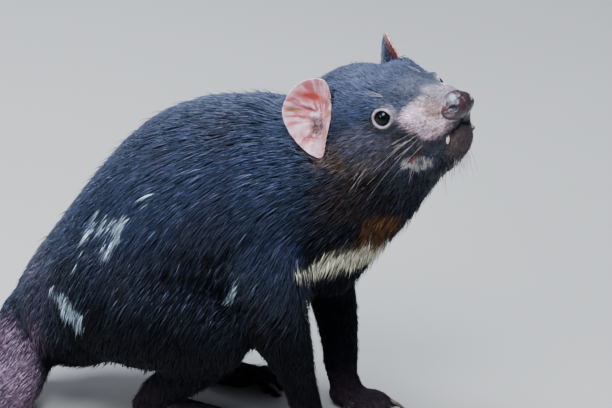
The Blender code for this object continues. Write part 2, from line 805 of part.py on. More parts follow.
def shade(obj):
    """Smooth shading, with the edges of the plane cuts left sharp."""
    obj.data.shade_smooth()
    obj.data.set_sharp_from_angle(angle=math.radians(50))


def set_on_origin(parts):
    """Moves the whole animal so that the origin lies under the middle of its box."""
    points = np.vstack([np.array([vert.co for vert in obj.data.vertices]) for obj in parts])
    low, high = points.min(axis=0), points.max(axis=0)
    shift = Matrix.Translation((-(low[0] + high[0]) / 2, -(low[1] + high[1]) / 2, -low[2]))
    for obj in parts:
        obj.data.transform(shift)


def main():
    clear_scene()
    animal = new_collection("tasmanian_devil")
    workshop = new_collection("cutters")
    workshop.hide_render = True
    to_world = head_matrix()

    torso, claws = model_flesh(to_world, workshop)
    fine_zones = [(to_world @ (Vector((22, 0, -14)) * MM), 52 * MM)]
    for pairs in claws.values():
        fine_zones += [(root, 16 * MM) for root, _ in pairs]
    simplify(torso, SKIN_TRIANGLES, weigh_for_simplifying(torso, fine_zones))
    flatten_below(torso, REST_LEVEL, workshop)

    def part(name, place, low, high):
        return part_off(torso, name, place, low, high, animal, workshop)

    feet = {}
    level = Matrix.Identity(4)
    for name, plan in LEG_PLANS.items():
        side, reach, shift = plan["side"], plan["reach"], plan["shift"]
        inner, outer = sorted((8 * side, 100 * side))
        near, far = sorted((-46 * side, 60 * side))
        thumb, wide = sorted(((9 - 0.27 * plan["turned_in"]) * side, 100 * side))
        feet["forefoot_" + name] = part("forefoot_" + name, level, (-6, thumb, -20), (95, wide, 25))
        feet["hindfoot_" + name] = part("hindfoot_" + name, level, (-170, inner, -20), (-15, outer, 22))
        shoulder = placed((-4, 52 * side, 100), about_x=8 * side)
        part("foreleg_" + name, shoulder, (-34, near, -120), (75, far, 0))
        hip = placed((-120, 48 * side, 92), about_x=46 * side)
        part("hindleg_" + name, hip, (-88, -110, -110), (100, 110, 0))
    tail_cuts = {
        "tail_tip": (placed((-262, -147, 18), about_z=-129), (0, -60, -60), (130, 60, 60)),
        "tail_base": (placed((-230, -36, 58), about_x=35, about_z=8), (-100, -170, -90), (42, 0, 46)),
    }
    for name, (place, low, high) in tail_cuts.items():
        part(name, place, low, high)
    head = part("head", to_world, (-78, -100, -64), (110, 100, 90))
    neck = part("neck", placed((22, 0, 225), about_y=37), (-140, -140, 0), (140, 140, 200))
    give_finish(torso, "fur")
    torso.display_type = "TEXTURED"
    workshop.objects.unlink(torso)
    animal.objects.link(torso)

    for name, foot in feet.items():
        flatten_below(add_claws(foot, claws[name], workshop), REST_LEVEL, workshop)
        give_finish(foot, "claw")
    combine(head, lip_groove(head, to_world, workshop), "DIFFERENCE")
    add_eyes(head, to_world, animal, workshop)
    add_nose(head, to_world, animal, workshop)
    add_canines(head, to_world, animal, workshop)
    add_ears([head, neck], to_world, animal, workshop)
    largest_body(head)
    set_on_origin(list(animal.objects))
    for obj in animal.objects:
        shade(obj)


if __name__ == "__main__":
    main()
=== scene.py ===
"""The looks of a life-size Tasmanian devil that sits on its haunches and looks up to its right.

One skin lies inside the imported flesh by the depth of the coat, and tufts of hair cover it, laid along
the body. Two frames of thought are used, both in millimetres: the body's (x forwards, y to the left,
z up) and the head's (x to the nose, y to its left, z up, origin between the eyes).
"""

import math

import bmesh
import bpy
import numpy as np
from mathutils import Matrix, Vector
from mathutils.kdtree import KDTree


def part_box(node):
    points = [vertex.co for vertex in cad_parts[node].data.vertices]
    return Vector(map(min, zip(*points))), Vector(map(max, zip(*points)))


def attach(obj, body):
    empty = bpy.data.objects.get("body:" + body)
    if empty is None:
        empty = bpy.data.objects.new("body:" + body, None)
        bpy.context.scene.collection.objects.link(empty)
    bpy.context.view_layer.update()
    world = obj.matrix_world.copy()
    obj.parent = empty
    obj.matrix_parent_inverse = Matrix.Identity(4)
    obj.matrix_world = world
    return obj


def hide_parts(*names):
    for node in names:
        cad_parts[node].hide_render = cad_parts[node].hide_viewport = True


MM = 0.001

# Head: where it points, and the eyes that everything is placed from
HEAD_HEADING = math.radians(-29.3)
HEAD_PITCH = math.radians(12.6)
HEAD_ROLL = math.radians(12.5)
EYE_AXIS = Vector((0.58, 0.78, 0.22)).normalized()
EYE_RADIUS = 8.0
EYE_STANDS_OUT = 1.0
EYE_SPREAD = 33.0
EYE_DROP = 2.9
EYE_LINE = Vector((95, -27, 302))
LID_OPENING = 5.7

# Camera: the photograph's viewing angle, distance and focal length
CAMERA_AZIMUTH = math.radians(20.0)
CAMERA_ELEVATION = math.radians(22.0)
CAMERA_DISTANCE = 2.2
CAMERA_TARGET = Vector((0.0, 0.0, 0.190))
SENSOR = 36.0
LENS = 161.8

# Skin and coat
SKIN_VOXEL = 1.6
SKIN_SMOOTHING = 9
TUFTS = 128000
MOST_TUFTS_A_PIECE = 15500
PATCH = 0.003
ROOT_SUNK = 0.5
LOWEST_HAIR = 0.35
EAR_TUFTS = 2400

# Colours, linear
# Black hair, with a blue tint that is painted sheen
BLACK_HAIR = (0.0110, 0.0150, 0.0270)
# Blue hair that stands for a painted sky sheen
BLUE_SHEEN_HAIR = (0.0175, 0.0310, 0.0820)
BROWN_HAIR = (0.018, 0.0115, 0.0090)
# Near-black hair used as painted shade, for hair that faces down or lies in shade
SHADED_UNDER_HAIR = (0.0078, 0.0074, 0.0082)
# Pale bluish frosted hair, partly hair colour and partly painted sheen
FROST_SHEEN_HAIR = (0.074, 0.078, 0.140)
GREY_HAIR = (0.085, 0.082, 0.100)
WHITE_HAIR = (0.50, 0.62, 0.72)
CREAM_HAIR = (0.74, 0.70, 0.54)
TAN_HAIR = (0.150, 0.066, 0.022)
TAIL_HAIR = (0.290, 0.180, 0.255)
FOOT_HAIR = (0.040, 0.026, 0.034)
PINK_SKIN = (0.98, 0.70, 0.80)
LILAC_SKIN = (0.56, 0.50, 0.60)
LID_SKIN = (0.42, 0.33, 0.40)
LIP_HAIR = (0.62, 0.58, 0.54)
LIP_SKIN = (0.26, 0.075, 0.065)
CHIN_SKIN = (0.125, 0.082, 0.074)

FLESH = [
    "torso", "neck", "head", "tail_base", "tail_tip", "foreleg_right", "foreleg_left", "hindleg_right",
    "hindleg_left", "forefoot_right", "forefoot_left", "hindfoot_right", "hindfoot_left",
]

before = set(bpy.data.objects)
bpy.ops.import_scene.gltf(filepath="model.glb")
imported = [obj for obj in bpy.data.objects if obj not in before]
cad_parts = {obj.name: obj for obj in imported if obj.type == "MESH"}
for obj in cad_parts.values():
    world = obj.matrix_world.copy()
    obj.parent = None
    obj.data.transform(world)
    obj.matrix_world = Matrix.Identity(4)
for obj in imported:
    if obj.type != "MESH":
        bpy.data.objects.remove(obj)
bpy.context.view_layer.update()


# Frames


def mirrored(vector, side):
    return Vector((vector[0], vector[1] * side, vector[2]))


def eye_centre(side):
    """Centre of an eyeball in the head's frame."""
    front = Vector((0, EYE_SPREAD * side, -EYE_DROP))
    return front - mirrored(EYE_AXIS, side) * (EYE_RADIUS - EYE_STANDS_OUT)


def middle_of(node):
    low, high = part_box(node)
    return (low + high) / 2


def head_frame():
    """From the head's frame, in millimetres, to the model, in metres."""
    turn = (
        Matrix.Rotation(HEAD_HEADING, 4, "Z")
        @ Matrix.Rotation(-HEAD_PITCH, 4, "Y")
        @ Matrix.Rotation(HEAD_ROLL, 4, "X")
    )
    between = (eye_centre(-1) + eye_centre(1)) / 2
    place = (middle_of("eye_right") + middle_of("eye_left")) / 2 - (turn @ between) * MM
    return Matrix.Translation(place) @ turn @ Matrix.Scale(MM, 4)


HEAD = head_frame()
BODY = Matrix.Translation(HEAD.translation - EYE_LINE * MM) @ Matrix.Scale(MM, 4)


def moved(points, matrix):
    """An array of points under a matrix."""
    m = np.array(matrix)
    return points @ m[:3, :3].T + m[:3, 3]


def unit(vectors):
    return vectors / np.maximum(np.linalg.norm(vectors, axis=1), 1e-9)[:, None]


def smooth_step(values, low, high):
    t = np.clip((values - low) / (high - low), 0, 1)
    return t * t * (3 - 2 * t)


def mixed(a, b, share):
    """Rows of colour a towards colour b by a share for each row."""
    return np.asarray(a) * (1 - share[:, None]) + np.asarray(b) * share[:, None]


def drift(points, size, seed):
    """Smooth noise from -1 to 1 at points, in lumps of about this size."""
    lattice = np.random.default_rng(seed).uniform(-1, 1, (32, 32, 32))
    cell = points / size
    low = np.floor(cell).astype(int)
    t = cell - low
    t = t * t * (3 - 2 * t)
    total = np.zeros(len(points))
    for corner in np.ndindex(2, 2, 2):
        share = np.prod(np.where(np.array(corner, bool), t, 1 - t), axis=1)
        i = (low + np.array(corner)) % 32
        total += share * lattice[i[:, 0], i[:, 1], i[:, 2]]
    return total


# Meshes


def coordinates(mesh):
    co = np.empty(len(mesh.vertices) * 3, np.float32)
    mesh.vertices.foreach_get("co", co)
    return co.reshape(-1, 3).astype(float)


def set_coordinates(mesh, co):
    mesh.vertices.foreach_set("co", co.astype(np.float32).ravel())
    mesh.update()


def normals_of(mesh):
    normal = np.empty(len(mesh.vertices) * 3, np.float32)
    mesh.vertex_normals.foreach_get("vector", normal)
    return normal.reshape(-1, 3).astype(float)


def edges_of(mesh):
    pairs = np.empty(len(mesh.edges) * 2, np.int32)
    mesh.edges.foreach_get("vertices", pairs)
    return pairs.reshape(-1, 2)


def smoothed(co, pairs, rounds, weight, pull=0.5):
    """Moves points towards the mean of their neighbours, by a weight for each point."""
    count = np.bincount(pairs.ravel(), minlength=len(co))[:, None]
    for _ in range(rounds):
        total = np.zeros_like(co)
        for axis in range(3):
            total[:, axis] = np.bincount(pairs[:, 0], co[pairs[:, 1], axis], len(co))
            total[:, axis] += np.bincount(pairs[:, 1], co[pairs[:, 0], axis], len(co))
        co = co + (total / count - co) * (pull * weight)[:, None]
    return co


def new_object(name, mesh):
    obj = bpy.data.objects.new(name, mesh)
    bpy.context.scene.collection.objects.link(obj)
    return obj


def baked(obj):
    """Puts what the modifiers make in the object's own mesh."""
    bpy.context.view_layer.update()
    graph = bpy.context.evaluated_depsgraph_get()
    mesh = bpy.data.meshes.new_from_object(obj.evaluated_get(graph))
    obj.modifiers.clear()
    obj.data = mesh
    return obj


def mesh_of(name, points, faces):
    """A smooth mesh from arrays of points and of faces that all have as many corners."""
    return mesh_of_groups(name, points, [np.asarray(faces)])


def mesh_of_groups(name, points, groups):
    mesh = bpy.data.meshes.new(name)
    corners = np.concatenate([group.ravel() for group in groups])
    sizes = np.concatenate([np.full(len(group), group.shape[1]) for group in groups])
    starts = np.concatenate([[0], np.cumsum(sizes)[:-1]])
    mesh.vertices.add(len(points))
    mesh.vertices.foreach_set("co", np.asarray(points, np.float32).ravel())
    mesh.loops.add(len(corners))
    mesh.loops.foreach_set("vertex_index", corners.astype(np.int32))
    mesh.polygons.add(len(sizes))
    mesh.polygons.foreach_set("loop_start", starts.astype(np.int32))
    mesh.polygons.foreach_set("use_smooth", np.ones(len(sizes), bool))
    mesh.update(calc_edges=True)
    return mesh


def set_colours(mesh, colours):
    layer = mesh.attributes.new("tone", "FLOAT_COLOR", "POINT")
    rows = np.ones((len(colours), 4), np.float32)
    rows[:, :3] = np.clip(colours, 0, 1)
    layer.data.foreach_set("color", rows.ravel())


def ring_faces(rings, sides, closed=True):
    """Quads between rings of points that lie one after the other."""
    k = np.arange(sides if closed else sides - 1)
    following = (k + 1) % sides
    faces = []
    for i in range(rings - 1):
        near, far = i * sides, (i + 1) * sides
        faces.append(np.stack([near + k, near + following, far + following, far + k], axis=1))
    return np.concatenate(faces)


def outward(mesh):
    """Turns the faces of a closed mesh outwards."""
    shape = bmesh.new()
    shape.from_mesh(mesh)
    bmesh.ops.recalc_face_normals(shape, faces=shape.faces)
    shape.to_mesh(mesh)
    shape.free()
    return mesh


def tube(points, radii, sides):
    """Rings round a path, with both ends closed to a point. Returns points and groups of faces."""
    points = np.asarray(points, float)
    tangent = unit(np.gradient(points, axis=0))
    side = np.cross(tangent, np.array([0.31, 0.17, 0.93]))
    side = unit(side)
    other = np.cross(tangent, side)
    angle = 2 * np.pi * np.arange(sides) / sides
    ring = (
        side[:, None, :] * np.cos(angle)[None, :, None] + other[:, None, :] * np.sin(angle)[None, :, None]
    )
    rows = points[:, None, :] + ring * np.asarray(radii, float)[:, None, None]
    count = len(points)
    made = np.concatenate([rows.reshape(-1, 3), points[:1], points[-1:]])
    k = np.arange(sides)
    following = (k + 1) % sides
    first, last = count * sides, count * sides + 1
    caps = np.concatenate([
        np.stack([np.full(sides, first), following, k], axis=1),
        np.stack([np.full(sides, last), (count - 1) * sides + k, (count - 1) * sides + following], axis=1),
    ])
    return made, [ring_faces(count, sides), caps]


def gathered(name, shapes):
    """One mesh from several (points, groups of faces)."""
    points, by_size, start = [], {}, 0
    for made, groups in shapes:
        points.append(made)
        for group in groups:
            by_size.setdefault(group.shape[1], []).append(group + start)
        start += len(made)
    return mesh_of_groups(name, np.concatenate(points), [np.concatenate(g) for g in by_size.values()])


# Materials


def new_material(name, roughness, specular=0.5):
    material = bpy.data.materials.new(name)
    material.use_nodes = True
    shader = material.node_tree.nodes["Principled BSDF"]
    shader.inputs["Roughness"].default_value = roughness
    shader.inputs["Specular IOR Level"].default_value = specular
    return material, material.node_tree, shader


def add_node(tree, kind, **inputs):
    node = tree.nodes.new(kind)
    for name, value in inputs.items():
        node.inputs[name.replace("_", " ")].default_value = value
    return node


def noise_node(tree, scale, detail=3.0, stretch=None):
    """Noise over the object's own space, in lumps of 1 / scale metres."""
    place = tree.nodes.new("ShaderNodeTexCoord")
    noise = add_node(tree, "ShaderNodeTexNoise", Scale=scale, Detail=detail)
    if stretch is None:
        tree.links.new(place.outputs["Object"], noise.inputs["Vector"])
        return noise
    mapping = tree.nodes.new("ShaderNodeMapping")
    mapping.inputs["Scale"].default_value = stretch
    tree.links.new(place.outputs["Object"], mapping.inputs["Vector"])
    tree.links.new(mapping.outputs["Vector"], noise.inputs["Vector"])
    return noise


def span(tree, value, low, high, to_low, to_high):
    node = tree.nodes.new("ShaderNodeMapRange")
    for name, number in (("From Min", low), ("From Max", high), ("To Min", to_low), ("To Max", to_high)):
        node.inputs[name].default_value = number
    tree.links.new(value, node.inputs["Value"])
    return node.outputs["Result"]


def scaled_colour(tree, colour, factor):
    """The colour times a number."""
    node = tree.nodes.new("ShaderNodeVectorMath")
    node.operation = "SCALE"
    tree.links.new(colour, node.inputs[0])
    tree.links.new(factor, node.inputs["Scale"])
    return node.outputs["Vector"]


def tone_of(tree):
    node = tree.nodes.new("ShaderNodeAttribute")
    node.attribute_name = "tone"
    return node.outputs["Color"]


def add_bump(tree, shader, height, strength, distance):
    bump = add_node(tree, "ShaderNodeBump", Strength=strength, Distance=distance)
    tree.links.new(height, bump.inputs["Height"])
    tree.links.new(bump.outputs["Normal"], shader.inputs["Normal"])
    return bump


def coat_material(name, gloss, sheen):
    """Glossy hair. Each tuft has its own strength of colour and its own gloss."""
    material, tree, shader = new_material(name, 0.42, gloss)
    own = tree.nodes.new("ShaderNodeNewGeometry").outputs["Random Per Island"]
    lumps = noise_node(tree, 160.0)
    by_tuft = scaled_colour(tree, tone_of(tree), span(tree, own, 0, 1, 0.5, 1.5))
    by_lump = scaled_colour(tree, by_tuft, span(tree, lumps.outputs["Fac"], 0.3, 0.7, 0.75, 1.25))
    tree.links.new(by_lump, shader.inputs["Base Color"])
    tree.links.new(span(tree, own, 0, 1, 0.28, 0.56), shader.inputs["Roughness"])
    shader.inputs["Specular Tint"].default_value = (0.56, 0.68, 1.0, 1.0)
    shader.inputs["Sheen Weight"].default_value = sheen
    shader.inputs["Sheen Roughness"].default_value = 0.4
    shader.inputs["Sheen Tint"].default_value = (0.45, 0.6, 1.0, 1.0)
    return material


def skin_material():
    """Skin under the coat, bare enough to see only on the muzzle, lids, lips and feet."""
    material, tree, shader = new_material("skin", 0.5, 0.4)
    pores = noise_node(tree, 900.0, 4.0)
    mottle = noise_node(tree, 260.0, 4.0)
    tone = scaled_colour(tree, tone_of(tree), span(tree, mottle.outputs["Fac"], 0.3, 0.7, 0.72, 1.25))
    tree.links.new(tone, shader.inputs["Base Color"])
    tree.links.new(span(tree, mottle.outputs["Fac"], 0.3, 0.7, 0.42, 0.6), shader.inputs["Roughness"])
    add_bump(tree, shader, pores.outputs["Fac"], 0.5, 0.0006)
    return material


def ear_material():
    material, tree, shader = new_material("ear_skin", 0.42, 0.45)
    pores = noise_node(tree, 1100.0, 4.0)
    veins = noise_node(tree, 170.0, 5.0, (1.0, 1.0, 2.6))
    tone = scaled_colour(tree, tone_of(tree), span(tree, veins.outputs["Fac"], 0.3, 0.7, 0.78, 1.2))
    tree.links.new(tone, shader.inputs["Base Color"])
    shader.inputs["Subsurface Weight"].default_value = 0.25
    shader.inputs["Subsurface Radius"].default_value = (0.004, 0.0015, 0.001)
    shader.inputs["Subsurface Scale"].default_value = 0.6
    add_bump(tree, shader, pores.outputs["Fac"], 0.45, 0.0005)
    return material


def nose_material():
    """Wet leather, finely pebbled."""
    material, tree, shader = new_material("nose", 0.30, 0.8)
    place = tree.nodes.new("ShaderNodeTexCoord")
    pebbles = add_node(tree, "ShaderNodeTexVoronoi", Scale=1050.0)
    tree.links.new(place.outputs["Object"], pebbles.inputs["Vector"])
    mottle = noise_node(tree, 320.0, 4.0)
    tone = scaled_colour(tree, tone_of(tree), span(tree, mottle.outputs["Fac"], 0.3, 0.7, 0.7, 1.35))
    tree.links.new(tone, shader.inputs["Base Color"])
    tree.links.new(span(tree, mottle.outputs["Fac"], 0.3, 0.7, 0.24, 0.40), shader.inputs["Roughness"])
    shader.inputs["Specular Tint"].default_value = (0.62, 0.82, 1.0, 1.0)
    shader.inputs["Coat Weight"].default_value = 0.12
    shader.inputs["Coat Roughness"].default_value = 0.22
    add_bump(tree, shader, pebbles.outputs["Distance"], 0.22, 0.0004)
    return material


def eye_material():
    """A dark brown iris with a black pupil under a wet cornea."""
    material, tree, shader = new_material("eye", 0.06, 0.24)
    fibres = noise_node(tree, 900.0, 3.0)
    tone = scaled_colour(tree, tone_of(tree), span(tree, fibres.outputs["Fac"], 0.3, 0.7, 0.6, 1.4))
    tree.links.new(tone, shader.inputs["Base Color"])
    shader.inputs["Specular Tint"].default_value = (0.7, 0.85, 1.0, 1.0)
    return material


def claw_material():
    material, tree, shader = new_material("claw", 0.35, 0.5)
    grain = noise_node(tree, 420.0, 4.0, (0.3, 1.0, 1.0))
    tone = scaled_colour(tree, tone_of(tree), span(tree, grain.outputs["Fac"], 0.3, 0.7, 0.6, 1.4))
    tree.links.new(tone, shader.inputs["Base Color"])
    add_bump(tree, shader, grain.outputs["Fac"], 0.4, 0.0003)
    return material


def tooth_material():
    material, tree, shader = new_material("tooth", 0.25, 0.5)
    stain = noise_node(tree, 500.0, 3.0)
    tone = scaled_colour(tree, tone_of(tree), span(tree, stain.outputs["Fac"], 0.3, 0.7, 0.85, 1.1))
    tree.links.new(tone, shader.inputs["Base Color"])
    shader.inputs["Subsurface Weight"].default_value = 0.1
    shader.inputs["Subsurface Scale"].default_value = 0.001
    return material


def whisker_material():
    material, tree, shader = new_material("whisker", 0.3, 0.5)
    shade = noise_node(tree, 60.0, 2.0)
    tone = scaled_colour(tree, tone_of(tree), span(tree, shade.outputs["Fac"], 0.3, 0.7, 0.7, 1.3))
    tree.links.new(tone, shader.inputs["Base Color"])
    return material


# The lie of the coat. Rows give a place, the way the hair lies there, how far that counts, and the
# hair's length, the coat's depth, a tuft's width and how many layers of tufts cover the skin.

BODY_COAT = [
    ((34, 0, 250), (-0.93, 0, -0.22), 50, 15, 5.0, 1.05, 3.4),
    ((0, 0, 208), (-0.88, 0, -0.45), 55, 17, 5.2, 1.1, 3.4),
    ((70, -14, 215), (-0.5, 0, -0.87), 30, 14, 4.5, 1.0, 3.2),
    ((40, -2, 165), (-0.28, 0, -0.96), 35, 16, 5.0, 1.1, 3.2),
    ((-76, 0, 195), (-0.83, 0, -0.56), 72, 18, 5.2, 1.1, 3.4),
    ((-76, 62, 150), (-0.5, 0, -0.85), 52, 19, 5.2, 1.15, 3.4),
    ((-30, 62, 150), (-0.5, 0, -0.85), 40, 19, 5.2, 1.15, 3.4),
    ((-150, 62, 165), (-0.34, 0, -0.94), 42, 17, 5.0, 1.1, 3.4),
    ((-190, 66, 115), (-0.18, 0, -0.98), 40, 16, 5.0, 1.1, 3.4),
    ((-190, 0, 128), (-0.5, 0, -0.86), 46, 18, 5.0, 1.15, 3.4),
    ((-60, 0, 100), (-0.75, 0, -0.65), 38, 19, 5.5, 1.2, 3.2),
    ((-14, 48, 160), (-0.25, 0, -0.97), 30, 15, 4.0, 1.05, 3.4),
    ((5, 44, 72), (0.02, 0, -1), 28, 9, 2.4, 0.85, 3.2),
    ((18, 37, 27), (0.35, 0, -0.93), 15, 5, 1.2, 0.65, 2.6),
    ((42, 36, 5), (0.95, 0, -0.3), 18, 3.5, 0.7, 0.55, 2.0),
    ((-110, 58, 95), (-0.3, 0, -0.95), 38, 17, 4.5, 1.1, 3.4),
    ((-62, 61, 85), (-0.15, 0, -0.99), 22, 13, 3.5, 1.0, 3.4),
    ((-110, 48, 42), (-0.2, 0, -0.97), 22, 10, 2.6, 0.85, 3.2),
    ((-100, 40, 6), (0.9, 0, -0.35), 22, 4, 0.8, 0.6, 2.0),
]
TAIL_COAT = [
    ((-228, -34, 58), (-0.25, -0.7, -0.65), 32, 16, 3.8, 1.05, 3.2),
    ((-233, -76, 27), (-0.05, -1, -0.1), 30, 12, 3.0, 0.95, 2.8),
    ((-262, -147, 18), (-0.62, -0.78, -0.1), 30, 12, 2.6, 0.95, 2.8),
    ((-315, -190, 9), (-0.8, -0.58, -0.08), 25, 13, 2.0, 0.95, 3.0),
]
HEAD_COAT = [
    ((50, 0, 2), (-1, 0, 0.1), 10, 1.6, 0.25, 0.32, 0.7),
    ((32, 17, -9), (-0.97, 0.05, -0.15), 13, 2.4, 0.35, 0.34, 0.9),
    ((28, 20, -28), (-0.8, 0, -0.55), 8, 3.2, 0.5, 0.40, 1.6),
    ((42, 0, -38), (-0.7, 0, -0.7), 12, 4.0, 0.8, 0.45, 1.6),
    ((22, 0, 8), (-1, 0, 0.1), 12, 3.2, 0.6, 0.42, 1.6),
    ((0, 12, 10), (-1, 0, 0.1), 14, 5.0, 1.1, 0.52, 2.8),
    ((0, 30, -3), (-1, 0, -0.1), 8, 2.4, 0.3, 0.36, 1.2),
    ((2, 28, -22), (-0.95, 0, -0.3), 11, 4.2, 0.9, 0.48, 2.6),
    ((14, 24, -44), (-0.4, 0, -0.9), 10, 6.5, 1.1, 0.42, 3.0),
    ((-35, 0, 15), (-1, 0, 0.0), 28, 9.0, 2.5, 0.72, 3.2),
    ((-28, 36, 0), (-1, 0, -0.15), 17, 7.5, 1.8, 0.64, 3.0),
    ((-30, 42, -30), (-0.93, 0, -0.38), 22, 9.5, 2.8, 0.75, 3.0),
    ((0, 22, -55), (-0.85, 0, -0.5), 18, 8.0, 2.0, 0.68, 2.8),
    ((0, 0, -66), (-0.95, 0, -0.3), 18, 9.0, 2.4, 0.72, 2.8),
    ((-75, 0, 5), (-1, 0, 0), 28, 12, 4.0, 0.95, 3.2),
    ((-50, 0, -55), (-0.8, 0, -0.6), 25, 13, 4.0, 0.95, 3.0),
]


def coat_guides():
    """All rows as arrays in the body's frame, with those off the middle on both sides."""
    to_body = BODY.inverted() @ HEAD
    turn = to_body.to_3x3().normalized()
    guides = []
    for place, lie, *numbers in BODY_COAT:
        for side in ((-1, 1) if place[1] > 20 else (1,)):
            guides.append((mirrored(place, side), mirrored(lie, side), numbers))
    for place, lie, *numbers in TAIL_COAT:
        guides.append((Vector(place), Vector(lie), numbers))
    for place, lie, *numbers in HEAD_COAT:
        for side in ((-1, 1) if place[1] > 0 else (1,)):
            guides.append((to_body @ mirrored(place, side), turn @ mirrored(lie, side), numbers))
    places = np.array([g[0] for g in guides])
    lies = unit(np.array([g[1] for g in guides]))
    numbers = np.array([g[2] for g in guides])
    return places, lies, numbers[:, 0], numbers[:, 1:]


GUIDES = coat_guides()


def coat_at(points, normals):
    """The lie of the hair, and its length, depth, width and layers, at points of the body's frame."""
    places, lies, reach, numbers = GUIDES
    far = ((points[:, None, :] - places[None]) ** 2).sum(axis=2) / reach[None] ** 2
    share = 1.0 / (far + 0.02) ** 2.5
    share /= share.sum(axis=1)[:, None]
    lie = share @ lies
    lie -= normals * (lie * normals).sum(axis=1)[:, None]
    return unit(lie), share @ numbers


# Markings. Strokes of white hair are (start, end, half width, strength) in the body's frame.

WHITE_STROKES = [
    ((-157, -58, 187), (-165, -66, 164), 2.7, 1.0), ((-166, -67, 161), (-168, -78, 141), 1.9, 0.55),
    ((-147, -66, 183), (-152, -69, 170), 2.5, 0.8), ((-130, -69, 186), (-136, -74, 168), 3.0, 1.0),
    ((-136, -74, 168), (-143, -76, 154), 2.6, 0.9), ((-138, -68, 182), (-148, -75, 158), 2.5, 0.75),
    ((-190, -80, 120), (-182, -83, 111), 2.6, 0.7), ((-182, -83, 112), (-174, -84, 100), 3.0, 0.95),
    ((-178, -84, 117), (-171, -84, 100), 3.4, 1.0), ((-171, -84, 110), (-164, -85, 93), 3.6, 1.0),
    ((-165, -86, 118), (-163, -86, 102), 2.4, 0.65), ((-110, -66, 207), (-112, -69, 200), 1.6, 0.75),
    ((-105, -78, 156), (-107, -78, 148), 1.8, 0.75), ((-97, -76, 139), (-98, -76, 134), 1.4, 0.6),
    ((-35, -69, 140), (-43, -58, 124), 2.6, 0.95), ((-76, -70, 118), (-84, -74, 112), 3.0, 0.3),
    ((-150, 74, 176), (-157, 80, 156), 3.2, 0.9), ((-142, 74, 170), (-149, 79, 150), 2.4, 0.7),
    ((-166, 76, 124), (-162, 80, 106), 3.6, 0.95), ((-20, 74, 150), (-26, 70, 138), 2.4, 0.8),
]
CREAM_STROKES = [
    ((17, -60, 157), (26, -46, 154), 3.5, 0.85), ((26, -46, 155), (42, -40, 158), 6.5, 1.0),
    ((42, -40, 159), (58, -31, 164), 9.0, 1.0), ((58, -31, 163), (68, -6, 160), 9.5, 1.0),
    ((68, -6, 160), (60, 24, 158), 8.5, 1.0), ((60, 24, 158), (38, 46, 155), 6.0, 1.0),
]


def stroke_share(points, strokes):
    """How much of the hair at points of the body's frame belongs to the strokes."""
    wander = 1 + 0.45 * drift(points, 7.0, 21) + 0.25 * drift(points, 3.0, 22)
    found = np.zeros(len(points))
    for start, end, half_width, strength in strokes:
        a, b = np.array(start, float), np.array(end, float)
        t = np.clip((points - a) @ (b - a) / ((b - a) @ (b - a)), 0, 1)
        far = np.linalg.norm(points - a - t[:, None] * (b - a), axis=1) / (half_width * wander)
        found = np.maximum(found, strength * (1 - smooth_step(far, 0.6, 1.7)))
    return found


def near(points, centre, radii):
    """1 in the middle of a soft ellipsoid and 0 outside it."""
    far = np.linalg.norm((points - np.array(centre, float)) / np.array(radii, float), axis=1)
    return 1 - smooth_step(far, 0.55, 1.15)


def shaded_share(points, normals):
    """1 where the coat lies in its own shade: below, on the legs and under the throat."""
    below = 1 - smooth_step(normals[:, 2], -0.45, 0.3)
    low = (1 - smooth_step(points[:, 2], 100, 160)) * smooth_step(points[:, 0], -200, -165)
    return np.maximum(below, low)


